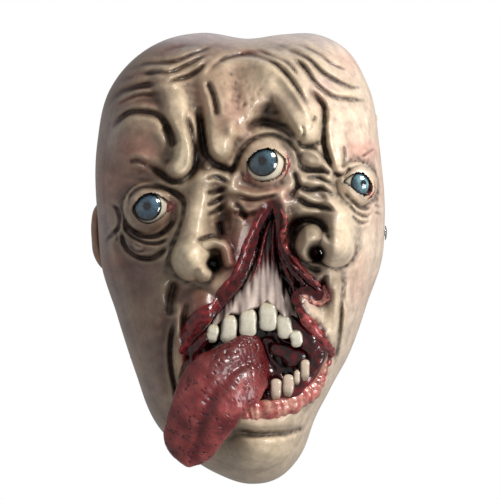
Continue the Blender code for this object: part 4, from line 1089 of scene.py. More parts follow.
    def paint(self, x: Array, y: Array, z: Array, dark: Array, red: Array, mouth: Array) -> tuple[Array, Array]:
        """Colour and wetness: airbrushed patches with painted highlight and shade among them, the dark wash and painted
        shade in the hollows, painted highlight on the rises, painted shade in the nostrils, and blood round the tear.

        Args:
            x: Grid x.
            y: Skin y.
            z: Grid z.
            dark: Darkness of the furrows.
            red: Redness of the furrows.
            mouth: Signed distance to the mouth's edge.

        Returns:
            Colours as rows by columns by 3, and wetness.
        """
        # hollow: how far each point lies below its blurred surroundings, at three widths, which sets the painted shade
        # in the hollows and the painted highlight on the rises
        blurred = y.copy()
        hollow = np.zeros(y.shape)
        for steps, share in ((5, 0.9), (16, 0.55), (50, 0.30)):
            for _ in range(steps):
                blurred[1:-1, 1:-1] = (blurred[:-2, 1:-1] + blurred[2:, 1:-1] + blurred[1:-1, :-2]
                                       + blurred[1:-1, 2:] + 2 * blurred[1:-1, 1:-1]) / 6
            hollow += share * (y - blurred)
        flat = np.stack([x.ravel() + 0.7 * y.ravel(), z.ravel()], 1)
        rough = ripple(flat, 14.0, 11)
        fx, fz = x.ravel(), z.ravel()
        p = self.palette
        # painted light: cream towards the viewer's right, where the light comes from, and darker tan to the left as
        # painted shade
        colour = mixed(p.tan, p.cream, smoothstep(-30, 70, fx + 6 * rough))
        # the ivory patches are painted highlights, the olive ones painted shade in the hollows, and the mauve ones the
        # mauve wash with painted shade on the viewer's left
        patches = ((p.mauve, 1.0, MAUVE_WASH_AND_SHADE_SPOTS), (p.lilac, 1.0, LILAC_SPOTS), (p.rust, 0.8, RUST_SPOTS),
                   (p.pink, 1.0, PINK_SPOTS), (p.ivory * 1.12, 1.0, IVORY_HIGHLIGHT_SPOTS), (p.olive, 1.0, OLIVE_SHADE_SPOTS))
        for shade, strength, table in patches:
            colour = mixed(colour, shade, strength * spots(table, fx, fz, rough))
        bloody = spots(BLOOD_SPOTS, fx, fz, rough)
        tear = smoothstep(11, 4, np.clip(mouth.ravel(), 0, None) + 2.5 * rough) * smoothstep(-100, -84, fz)
        bloody = np.maximum(bloody, np.maximum(tear, smoothstep(4, 1, mouth.ravel())))
        colour = layered(colour, (p.blood, bloody),
                         (p.blood * 0.25, 0.8 * tear * smoothstep(-0.3, 0.6, ripple(flat, 3.5, 19))),
                         (p.rust, 0.8 * red.ravel()))
        # low is the painted shade in the hollows, with the paint's dark wash; high is the painted highlight on the
        # rises
        low = np.clip(hollow.ravel() / 2.2, 0, 1) ** 0.8
        high = np.clip(-hollow.ravel() / 2.6, 0, 1)
        front = smoothstep(self.sculpt.form.widest_y, self.sculpt.form.widest_y - 20, y.ravel())
        front = front * smoothstep(0.985, 0.945, self.sculpt.form.share(fx, fz))
        # painted highlight: ivory on the rises, kept off the blood
        colour = mixed(colour, p.ivory, 0.45 * high * front * (1 - bloody))
        streaks = 0.75 + 0.25 * ripple(flat, 3.0, 5)
        # the dark wash and painted shade: first in the hollows, then along the furrows
        colour = mixed(colour, p.wash_and_shade, np.clip(0.85 * low * streaks, 0, 0.92) * front)
        faint = 1 - 0.35 * smoothstep(35, 75, fz) - 0.15 * smoothstep(30, 60, fx) - 0.45 * smoothstep(-25, -50, fz)
        colour = mixed(colour, p.wash_and_shade, np.clip(dark.ravel() * faint * (0.2 + 0.8 * streaks), 0, 0.95) * front)
        # painted shade: near black in and round the nostril holes
        for hole_x, hole_z, radius in NOSTRIL_HOLES:
            far = np.hypot(fx - hole_x, fz - hole_z)
            colour = mixed(colour, rgb(12, 7, 6), smoothstep(radius + 3.5, radius + 0.5, far))
        colour *= (1 + 0.10 * ripple(flat, 9.0, 21))[:, None]
        wet = np.clip(0.25 + 0.75 * bloody, 0, 1)
        return colour.reshape(*x.shape, 3), wet.reshape(x.shape)


# ------------------------------------------------------------------ flesh, teeth and bone
FLESH = {"blood": rgb(92, 12, 18), "dark": rgb(36, 7, 10), "red": rgb(132, 28, 34), "pink": rgb(184, 88, 84),
         "rose": rgb(212, 152, 134), "bone": rgb(226, 206, 194)}


@dataclass(frozen=True)
class Strand:
    """A roll of torn flesh: its path, radius at start, middle and end, how far its middle stands out, its colours."""

    name: str
    path: Path
    radii: Vec3
    out: float
    colour: str
    other: str
    flat: float = 1.0
    lumps: float = 0.2
    level: float | None = None  # y of the path, where it doesn't lie on the skin


STRANDS = (
    Strand("tear_left", ((13, 10), (8, 3), (3, -5), (-1, -13), (-5, -21), (-8, -31), (-12, -40), (-19, -48),
                         (-25, -55)), (1.0, 2.6, 2.2), -1.0, "blood", "red"),
    Strand("tear_left_low", ((-1, -9), (-3, -20), (-7, -33), (-12, -44), (-18, -53), (-26, -61), (-35, -70)),
           (0.8, 2.0, 1.8), -2.8, "red", "pink"),
    Strand("tear_left_inner", ((3, -14), (1, -26), (-4, -38), (-12, -50), (-22, -60), (-32, -72)), (0.8, 2.0, 1.5),
           -4.6, "dark", "blood"),
    Strand("lip_left", ((-22, -52), (-27, -60), (-34, -69), (-42, -79), (-48, -89), (-50, -99)), (3.0, 7.0, 3.0), -3.0,
           "red", "blood", 0.8, 0.2),
    Strand("tear_right", ((18, 9), (20, 3), (23, -4), (21, -13), (23, -23), (29, -31), (38, -41), (47, -49)),
           (0.9, 2.1, 2.0), -1.0, "pink", "red"),
    Strand("tear_right_inner", ((17, 0), (18, -12), (20, -24), (26, -35), (33, -44), (40, -51)), (0.9, 2.2, 2.0), -3.4,
           "blood", "dark"),
    Strand("hook", ((48, -48), (51, -53), (49, -58), (43, -60), (37, -57), (33, -54)), (2.2, 2.8, 1.6), -1.6, "pink",
           "rose"),
    Strand("lip_right", ((30, -59), (36, -69), (42, -78), (49, -86), (52, -91)), (3.0, 4.6, 3.0), -2.6, "red", "pink",
           0.9, 0.18),
    Strand("mouth_corner", ((51, -87), (53.5, -93), (51, -100), (48, -105)), (2.4, 3.0, 2.4), -2.0, "pink", "red"),
    Strand("lip_lower", ((49.5, -99), (46.5, -109), (39.5, -119), (27, -127), (12, -132), (-2, -134), (-12, -138)),
           (3.8, 7.8, 6.0), -2.0, "rose", "pink", 0.75, 0.14),
    Strand("flesh_right", ((22, -66), (31, -76), (39, -86), (43, -97), (40, -108)), (3.0, 6.5, 4.0), 0, "dark", "blood",
           0.8, 0.3, -86),
    Strand("flesh_back", ((12, -90), (24, -94), (34, -100), (36, -110)), (4.0, 7.0, 4.0), 0, "dark", "blood", 0.7, 0.35,
           -82),
    Strand("flesh_left", ((-26, -78), (-36, -87), (-41, -98), (-41, -110), (-34, -122)), (3.5, 6.0, 4.0), 0, "blood",
           "dark", 0.8, 0.3, -88),
    Strand("sinew_1", ((13, -3), (9, -13), (6, -25), (3, -36), (-2, -46)), (1.2, 1.5, 0.5), 0, "blood", "red", 1, 0.2,
           -92),
    Strand("sinew_2", ((15, -3), (14, -16), (14, -27), (16, -38)), (1.0, 1.3, 0.5), 0, "red", "blood", 1, 0.2, -92),
    Strand("sinew_3", ((16, -8), (18, -22), (22, -34), (27, -46), (30, -58)), (1.0, 1.6, 0.8), 0, "blood", "red", 1,
           0.2, -90.5),
    Strand("sinew_4", ((4, -22), (-2, -36), (-9, -48), (-19, -60), (-27, -70)), (1.0, 1.8, 0.8), 0, "blood", "dark", 1,
           0.2, -90),
)


@dataclass
class Mouth:
    """Everything raw in the tear and the mouth: strands of flesh, the bared bone, the teeth and the gum."""

    sculpt: Sculpt
    flesh: Material
    bone: Material
    enamel: Material
    around: int = 28

    def strand(self, strand: Strand, seed: int) -> None:
        """Builds one roll of flesh along the skin or at its own depth."""
        path = curve_through(strand.path, 14)
        if strand.level is None:
            y = self.sculpt.skin_y(path[:, 0], path[:, 1])
            for _ in range(6):
                y[1:-1] = (y[:-2] + y[2:]) / 2
            y -= strand.out
        else:
            y = np.full(len(path), strand.level)
        t = np.linspace(0, 1, len(path))
        start, middle, end = strand.radii
        radii = np.where(t < 0.5, start + (middle - start) * smoothstep(0, 0.5, t), middle + (end - middle)
                         * smoothstep(0.5, 1, t))
        radii = radii * np.sqrt(np.clip(1 - (2 * t - 1) ** 12, 0.02, 1))
        line = np.stack([path[:, 0], y, path[:, 1]], 1)
        rings = tube_points(line, radii, self.around, strand.flat, strand.lumps, 1.2 * middle, seed)
        if strand.name == "lip_lower":
            count = np.arange(len(path))
            wrinkle = np.sin(count * 1.15 + 1.6 * np.sin(count * 0.37)) + 0.6 * np.sin(count * 0.53 + 1.0)
            rings = line[:, None] + (rings - line[:, None]) * (1 - 0.07 * wrinkle)[:, None, None]
        piece, points = capped_roll("flesh_" + strand.name, rings)
        noise = ripple(points, 4.0, seed + 50)
        colour = mixed(FLESH[strand.colour], FLESH[strand.other], 0.5 + 0.6 * noise)
        clots = smoothstep(0.15, 0.7, ripple(points, 2.6, seed + 70))
        colour = mixed(colour, FLESH["dark"], (0.15 if strand.name == "lip_lower" else 0.75) * clots)
        # painted shade on the back of the roll, the side turned into the tear
        inward = smoothstep(-0.5, 0.7, (points[:, 1] - np.append(np.repeat(y, self.around), [y[0], y[-1]])) / middle)
        colour = mixed(colour, FLESH["dark"], 0.8 * inward)
        set_colour(piece, colour, 0.9)
        dress(piece, self.flesh, "mask", "gum", "face_skin")

    def bone_plate(self) -> None:
        """The bared upper jaw: a four-sided patch bulging over each root, closed by a flat back."""
        left = ((-31, -80), (-23, -67), (-13, -56), (-4, -45), (3, -28), (8, -13), (12, -3))
        right = ((34, -85), (32, -71), (26, -56), (20, -42), (17, -24), (15, -10), (15, -3))
        bottom = ((-31, -80), (-20, -77), (-4, -73), (10, -68), (22, -75), (34, -85))
        x, z, u, v = coons(left, right, bottom, ((12, -3), (15, -3)), 90, 70)
        (_, front, _), (_, back, _) = box_of("upper_jaw")
        puff = 1 - np.abs(2 * u - 1) ** 3
        y = front + 3.0 - 5.0 * puff * np.sqrt(1 - 0.8 * v**2)
        for k in range(1, 7):
            (x0, _, _), (x1, _, top) = box_of(f"upper_tooth_{k}")
            y -= 2.0 * bell((x - (x0 + x1) / 2) / 3.6) * smoothstep(top + 16, top - 2, z)
        crown = np.interp(x, (-31, -26, -14.5, -8, -1.7, 4, 10, 15, 19.8, 26.3, 34),
                          (-79, -77, -66.5, -68, -64, -63, -58, -63, -67, -77, -84))
        y += 5.0 * smoothstep(crown + 1.2, crown - 2.5, z)
        flat = np.stack([x.ravel(), z.ravel()], 1)
        y -= 0.5 * ripple(flat * (1.6, 0.35), 4.0, 8).reshape(x.shape)
        piece = pillow("bone_plate", x, y, z, np.full(x.shape, back))
        streak = ripple(flat * (1.9, 0.25), 4.0, 4)
        bloody = smoothstep(-46, -26, flat[:, 1]) + 0.5 * streak * smoothstep(-66, -44, flat[:, 1])
        ridge_x = np.interp(flat[:, 1], (-80, -50, -30, -3), (3, 7.5, 9, 13.5))
        ridge = np.interp(flat[:, 1], (-75, -60, -50, -44, -37, -30, -15), (36, 23, 15, 12, 9, 6.5, 3))
        edge = smoothstep(0.75, 1.15, np.abs(flat[:, 0] - ridge_x) / ridge + 0.2 * streak)
        colour = mixed(FLESH["bone"], FLESH["blood"], np.maximum(bloody, edge))
        clots = np.maximum(smoothstep(-28, -12, flat[:, 1] + 6 * streak), 0.85 * edge)
        colour = mixed(colour, FLESH["dark"] * 0.6, clots)
        root = np.zeros(len(flat))
        for k in range(1, 7):
            (x0, _, _), (x1, _, top) = box_of(f"upper_tooth_{k}")
            beside = np.abs(np.abs(flat[:, 0] - (x0 + x1) / 2) - (x1 - x0) / 2)
            root = np.maximum(root, bell(beside / 1.2) * smoothstep(top + 7, top - 3, flat[:, 1]))
        # the blood round the roots is the gum's colour; the near black below the top of each crown is painted shade
        # between and behind the teeth
        colour = layered(colour, (FLESH["blood"], 0.7 * root),
                         (FLESH["dark"] * 0.5, smoothstep(0.6, -0.8, flat[:, 1] - crown.ravel())))
        # the back sheet is the same colour at half brightness, as painted shade
        set_colour(piece, np.vstack([colour, colour * 0.5]), 0.85)
        dress(piece, self.bone, "mask", "jaw_bone", "upper_jaw")

    def lining(self) -> None:
        """The dished sheet behind everything, glued to the inside of the shell, modelled as raw wet flesh."""
        low, high = box_of("mouth_lining")
        s, t = np.meshgrid(np.linspace(-1, 1, 150), np.linspace(-1, 1, 190))
        across, up = s * np.sqrt(1 - t * t / 2), t * np.sqrt(1 - s * s / 2)
        x = (low[0] + high[0]) / 2 + across * (high[0] - low[0]) / 2
        z = (low[2] + high[2]) / 2 + up * (high[2] - low[2]) / 2
        form = self.sculpt.form
        slope = [(form.front(x + a, z + b) - form.front(x - a, z - b)) / 6 for a, b in ((3, 0), (0, 3))]
        inside = form.front(x, z) + 3.9 * np.sqrt(1 + slope[0] ** 2 + slope[1] ** 2)
        far = np.hypot(across, up)
        y = inside + np.maximum(0, -77.5 - inside) * (1 - far**8)
        flat = np.stack([x.ravel(), z.ravel()], 1)
        folds = ripple(flat * (1.0, 0.55), 9.0, 71) + 0.5 * ripple(flat, 4.0, 72)
        lift = folds.reshape(x.shape) * smoothstep(0.95, 0.7, far)
        front = y - np.maximum(0.2, 1.2 + 1.6 * lift) * smoothstep(0.99, 0.8, far)
        piece = pillow("mouth_flesh", x, front, z, y + 0.9)
        # painted shade: the low places between the folds darker and the crests redder, over the flesh's dark red
        colour = mixed(FLESH["dark"] * 0.5, FLESH["blood"] * 0.8, 0.4 + 0.7 * folds)
        set_colour(piece, np.vstack([colour, np.full_like(colour, 0.05)]), 0.95)
        dress(piece, self.flesh, "mask", "lining", "mouth_lining")

    def gum_ridge(self) -> None:
        """The lower gum behind the lower teeth: a lumpy wet roll."""
        (x0, y0, z0), (x1, y1, z1) = box_of("lower_gum")
        path = curve_through(((x0, z0 + 2), (x0 + 9, z0 + 4), (x0 + 20, z0 + 9), (x1 - 4, z1 - 10),
                              (x1 - 1, z1 - 1)), 9)
        line = np.stack([path[:, 0], np.full(len(path), (y0 + y1) / 2), path[:, 1]], 1)
        radii = 5.0 * np.sqrt(np.clip(1 - np.linspace(-1, 1, len(path)) ** 8, 0.05, 1))
        rings = tube_points(line, radii, 30, 0.6, 0.2, 5.0, 61)
        piece, points = capped_roll("gum_ridge", rings)
        colour = mixed(FLESH["red"], FLESH["dark"], 0.5 + 0.6 * ripple(points, 5.0, 62))
        set_colour(piece, colour, 1.0)
        dress(piece, self.flesh, "mask", "gum", "lower_gum")

    def tooth(self, node: str, wide: float, tall: float, lean: float, up: int) -> None:
        """One tooth: rounded sections stacked from its edge to its root, which bends back into the bone.

        Args:
            node: The CAD tooth, whose box gives its place and depth.
            wide: Half its width.
            tall: Half its height.
            lean: Lean in degrees.
            up: 1 if its root is above, -1 if below.
        """
        low, high = box_of(node)
        half, middle = (high - low) / 2, (high + low) / 2
        t = np.sin(np.linspace(-np.pi / 2, np.pi / 2, 40))
        a = turns(48)
        ends = np.where(t > 0, (1 - np.abs(t) ** 3.4) ** (1 / 2.3), (1 - np.abs(t) ** 9) ** (1 / 3))
        width = wide * ends * np.interp(t, (-1, -0.6, 0.2, 1), (0.96, 1.04, 1.0, 0.84))
        depth = half[1] * ends * np.interp(t, (-1, -0.7, 0.1, 1), (0.40, 0.72, 1.0, 0.9))
        x = width[:, None] * signed_power(np.cos(a), 0.75) * (1 + 0.03 * np.sin(3 * t))[:, None]
        y = depth[:, None] * signed_power(np.sin(a), 0.75) + (0.5 * t**2 + 1.6 * smoothstep(0.5, 1.0, t))[:, None]
        z = np.repeat(t[:, None] * tall, len(a), axis=1)
        scallop = 0.5 * np.cos(x / wide * 2.2) * smoothstep(-0.6, -1.0, t)[:, None]
        z = (z - scallop) * up
        turn = math.radians(lean)
        rings = np.stack([middle[0] + x * math.cos(turn) + z * math.sin(turn), middle[1] + y,
                          middle[2] + z * math.cos(turn) - x * math.sin(turn)], 2)
        rings = rings + 0.12 * ripple(rings.reshape(-1, 3), 3.5, int(abs(middle[0]) * 7)).reshape(*x.shape, 1)
        piece, points = capped_roll(node + "_enamel", rings)
        tint = (1.0, 1.0, 1.0) if up > 0 else (0.86, 0.72, 0.70)
        share = np.append(np.repeat(t, len(a)), [-1, 1])
        stain = ripple(points * (2.2, 1, 0.5), 2.5, 17)
        colour = mixed(rgb(232, 226, 206), rgb(186, 168, 128), 0.6 * smoothstep(0.2, 1.0, share) + 0.2 * stain)
        # painted shade down the tooth's sides, where it meets its neighbours
        side = smoothstep(0.6, 1.0, with_ends(np.tile(np.abs(np.cos(a)), len(t))))
        colour = layered(colour, (rgb(60, 34, 26), 0.75 * side * smoothstep(-1, -0.2, share)),
                         (FLESH["blood"] * 0.6, smoothstep(0.86, 1.0, share + 0.06 * stain)))
        set_colour(piece, colour * tint, 0.8)
        dress(piece, self.enamel, "mask", "tooth", node)

    def build(self) -> None:
        """Builds all of the mouth."""
        for seed, strand in enumerate(STRANDS, 100):
            self.strand(strand, seed)
        self.bone_plate()
        self.gum_ridge()
        upper = ((4.3, 6.4, 16), (5.5, 9.9, 5), (6.0, 9.9, 2), (6.3, 10.4, -3), (5.4, 8.6, -9), (4.4, 6.2, -12))
        lower = ((3.9, 7.2, 2), (4.1, 7.6, 4), (2.3, 5.2, 4), (3.3, 7.2, 2))
        for k, sizes in enumerate(upper, 1):
            self.tooth(f"upper_tooth_{k}", *sizes, 1)
        for k, sizes in enumerate(lower, 1):
            self.tooth(f"lower_tooth_{k}", *sizes, -1)
        self.lining()


def coons(left: Path, right: Path, bottom: Path, top: Path, rows: int, columns: int) -> tuple[Array, ...]:
    """Four-sided patch between edge curves: each pair of edges blended across, less the corners' bilinear patch.

    Args:
        left: Left edge, bottom to top.
        right: Right edge, bottom to top.
        bottom: Bottom edge, left to right.
        top: Top edge, left to right.
        rows: Points up.
        columns: Points across.

    Returns:
        x, z, and the shares across and up.
    """
    def along(points: Path, count: int) -> Array:
        """Evenly spaced points of an edge."""
        path = curve_through(points, 12) if len(points) > 2 else np.array(points, float)
        far = lengths_along(path)
        at = np.linspace(0, far[-1], count)
        return np.stack([np.interp(at, far, path[:, 0]), np.interp(at, far, path[:, 1])], 1)

    u, v = np.meshgrid(np.linspace(0, 1, columns), np.linspace(0, 1, rows))
    edges = along(left, rows)[:, None], along(right, rows)[:, None]
    ends = along(bottom, columns)[None], along(top, columns)[None]
    a, b = u[..., None], v[..., None]
    sides = (1 - a) * edges[0] + a * edges[1] + (1 - b) * ends[0] + b * ends[1]
    corners = ((1 - a) * (1 - b) * ends[0][0, 0] + a * (1 - b) * ends[0][0, -1] + (1 - a) * b * ends[1][0, 0]
               + a * b * ends[1][0, -1])
    patch = sides - corners
    return patch[..., 0], patch[..., 1], u, v


def pillow(name: str, x: Array, y: Array, z: Array, back: Array) -> Piece:
    """Closes a front sheet with a back one: two grids joined round their edges.

    Args:
        name: The piece's name.
        x: Grid x in millimetres, the same for both sheets.
        y: The front's y.
        z: Grid z.
        back: The back's y.

    Returns:
        The closed piece, facing out.
    """
    rows, columns = x.shape
    count = rows * columns
    points = np.vstack([np.stack([x, y, z], -1).reshape(-1, 3), np.stack([x, back, z], -1).reshape(-1, 3)])
    front = grid_quads(rows, columns)
    grid = np.arange(count).reshape(rows, columns)
    rim = np.concatenate([grid[0, :-1], grid[:-1, -1], grid[-1, :0:-1], grid[:0:-1, 0]])
    nxt = np.roll(rim, -1)
    wall = np.stack([rim, rim + count, nxt + count, nxt], 1)
    quads = np.vstack([front, front[:, ::-1] + count, wall])
    return closed_piece(name, points, quads)


# ------------------------------------------------------------------ eyes and tongue
@dataclass
class EyeSet:
    """One eye's ball, iris and clear lens, and the lid's rim round it."""

    eye: Eye
    glaze: Material
    latex: Material
    skin: FaceSkin
    iris_angle: float = math.radians(38)
    ball_angle: float = math.radians(104)
    around: int = 160

    def cap(self, name: str, radius: float, inner: float, start: float, end: float, rings: int) -> tuple:
        """A piece of a ball's shell about the gaze, closed by its inner face.

        Args:
            name: The piece's name.
            radius: Outer radius.
            inner: Inner radius.
            start: Angle from the gaze where it starts.
            end: Angle where it ends.
            rings: Rings of points on its outer face.

        Returns:
            The piece, its points, each point's angle from the gaze, and its angle round it.
        """
        a = np.concatenate([np.linspace(start, end, rings), np.linspace(end, start, max(rings // 3, 4))])
        r = np.concatenate([np.full(rings, radius), np.full(len(a) - rings, inner)])
        around, gaze = self.around, self.eye.gaze
        b = turns(around)
        side = unit(np.cross(gaze, (0, 0, 1.0)))
        ring = circles(side, np.cross(side, gaze), b)
        points = self.eye.middle + r[:, None, None] * (np.cos(a)[:, None, None] * gaze
                                                       + np.sin(a)[:, None, None] * ring)
        flat = points.reshape(-1, 3)
        quads = grid_quads(len(a), around, wrap=True)
        if start > 0:
            k = np.arange(around)
            nxt, last = (k + 1) % around, (len(a) - 1) * around
            quads = np.vstack([quads, np.stack([last + k, last + nxt, nxt, k], 1)])
        return closed_piece(name, flat, quads), flat, np.repeat(a, around), np.tile(b, len(a))

    def lids(self, points: Array) -> Array:
        """Signed distance of points to the opening of the lids, negative inside."""
        return inside_outline(self.eye.edge(), points[:, 0], points[:, 2])

    def build(self) -> None:
        """Builds the ball, the iris, the lens and the rim of the lids."""
        eye, name = self.eye, self.eye.name
        ball, points, angle, around = self.cap(f"eye_{name}_ball", eye.radius, eye.radius - 1.6,
                                               self.iris_angle + 0.02, self.ball_angle, 60)
        spots_at = np.stack([angle * np.cos(around), angle * np.sin(around)], 1)
        veins = bell(ripple(spots_at, 0.20, 31) / 0.10) * smoothstep(0.85, 1.25, angle)
        colour = mixed(rgb(226, 218, 196), rgb(176, 100, 84), 0.5 * veins + 0.55 * smoothstep(0.85, 1.35, angle))
        # the dark brown layer towards the lids is painted shade on the ball
        colour = layered(colour, (rgb(120, 116, 106), 0.5 * smoothstep(self.iris_angle + 0.10, self.iris_angle, angle)),
                         (rgb(44, 26, 22), 0.85 * smoothstep(-3.2, -0.8, self.lids(points))))
        set_colour(ball, colour, 1.0)
        dress(ball, self.glaze, "mask", "eye_white", f"eye_{name}_dome")
        iris, points, angle, around = self.cap(f"eye_{name}_disc", eye.radius - 0.15, eye.radius - 1.2, 0.0,
                                               self.iris_angle + 0.03, 60)
        share = angle / self.iris_angle
        rays = ripple(np.stack([np.cos(around) * 6, np.sin(around) * 6, share * 0.8], 1), 0.55, 5)
        rays += 0.5 * ripple(np.stack([np.cos(around) * 12, np.sin(around) * 12, share], 1), 0.5, 6)
        blue = rgb(*eye.iris)
        colour = mixed(blue, rgb(*eye.rim), 0.45 + 0.35 * rays)
        # the last layer, dark towards the lids, is painted shade on the iris
        colour = layered(colour, (blue * 1.25, 0.6 * bell((share - 0.45) / 0.16)),
                         (rgb(*eye.rim) * 0.45, smoothstep(0.74, 0.97, share)),
                         (rgb(8, 12, 18), smoothstep(0.30, 0.22, share)),
                         (rgb(14, 12, 16), 0.75 * smoothstep(-3.4, -1.0, self.lids(points))))
        set_colour(iris, colour, 1.0)
        dress(iris, self.glaze, "mask", "eye_iris", f"eye_{name}_iris")
        lens, *_ = self.cap(f"eye_{name}_cornea", eye.radius + 0.5, eye.radius - 0.05, 0.0, self.iris_angle, 24)
        dress(lens, glass(f"lens {name}"), "mask", "eye_lens", f"eye_{name}_lens")
        self.bed()
        self.lid_rim()

    def bed(self) -> None:
        """The wet pink bed in the corners of the lids, behind the ball."""
        eye = self.eye
        path = eye.edge()
        middle = path.mean(0)
        t = np.linspace(0.0, 1.0, 14)[1:]
        x = middle[0] + (path[:, 0] - middle[0]) * 1.12 * t[:, None]
        z = middle[1] + (path[:, 1] - middle[1]) * 1.12 * t[:, None]
        y = np.full(x.shape, eye.middle[1] - 0.62 * eye.radius)
        count = len(path)
        rings = np.stack([x, y, z], 2)
        core = np.array([middle[0], y[0, 0], middle[1]])
        points = np.vstack([rings.reshape(-1, 3), core, rings[-1] + (0, 1.5, 0), core + (0, 1.5, 0)])
        points[:, 1] += 0.5 * ripple(points, 3.0, 6)
        hub, k = len(t) * count, np.arange(count)
        nxt = (k + 1) % count
        back = hub + 1
        fans = [np.stack([k, nxt, np.full(count, hub), np.full(count, hub)], 1),
                np.stack([back + nxt, back + k, np.full(count, back + count), np.full(count, back + count)], 1)]
        side = np.stack([(len(t) - 1) * count + k, back + k, back + nxt, (len(t) - 1) * count + nxt], 1)
        quads = np.vstack([grid_quads(len(t), count, wrap=True, flip=True), side, *fans])
        piece = closed_piece(f"eye_{eye.name}_bed", points, quads)
        colour = mixed(rgb(176, 96, 84), rgb(84, 34, 32), 0.5 + 0.6 * ripple(points, 2.0, 8))
        set_colour(piece, colour, 1.0)
        dress(piece, self.glaze, "mask", "eye_white", f"eye_{eye.name}_dome")

    def lid_rim(self) -> None:
        """A soft roll round the opening of the lids, lying on the ball."""
        eye = self.eye
        path = eye.edge()
        y = np.minimum(eye.ball_y(path[:, 0], path[:, 1], 0.9), self.skin.sculpt.skin_y(path[:, 0], path[:, 1]) + 8)
        line = np.stack([path[:, 0], y, path[:, 1]], 1)
        radii = 1.25 + 0.12 * ripple(line, 6.0, 9)
        away = unit(line - eye.middle)
        ahead = unit(np.roll(line, -1, 0) - np.roll(line, 1, 0))
        rings = line[:, None] + radii[:, None, None] * circles(np.cross(ahead, away), away, turns(16))
        piece, flat = hoop(f"lid_rim_{eye.name}", rings)
        low = smoothstep(0.3, -0.8, (flat[:, 2] - eye.middle[2]) / eye.radius)
        lids = self.lids(flat)
        colour = mixed(rgb(196, 166, 138), rgb(190, 128, 110), low)
        # painted shade: dark on the roll's inner side against the ball and, more lightly, where it meets the skin
        colour = mixed(colour, rgb(36, 22, 20), smoothstep(0.3, -0.7, lids) + 0.5 * smoothstep(0.9, 1.4, lids))
        set_colour(piece, colour, 0.5)
        dress(piece, self.latex, "mask", "latex_skin", "face_skin")


def glass(name: str) -> Material:
    """Clear varnish: mostly transparent, glossy where it turns away, with a very fine ripple."""
    made, tree, shader, place = new_material(name)
    tree.nodes.remove(shader)
    clear, fresnel = add_node(tree, "BsdfTransparent", {}), add_node(tree, "Fresnel", {"IOR": 1.45})
    ripples = bumped(tree, noise(tree, place, 300, 2, 0.5), 0.05, 0.0002)
    shine = add_node(tree, "BsdfGlossy", {"Roughness": 0.05, "Normal": ripples})
    both = add_node(tree, "MixShader", {"Fac": fresnel.outputs[0], 1: clear.outputs[0], 2: shine.outputs[0]})
    fill(tree, tree.nodes["Material Output"], {"Surface": both.outputs[0]})
    return made


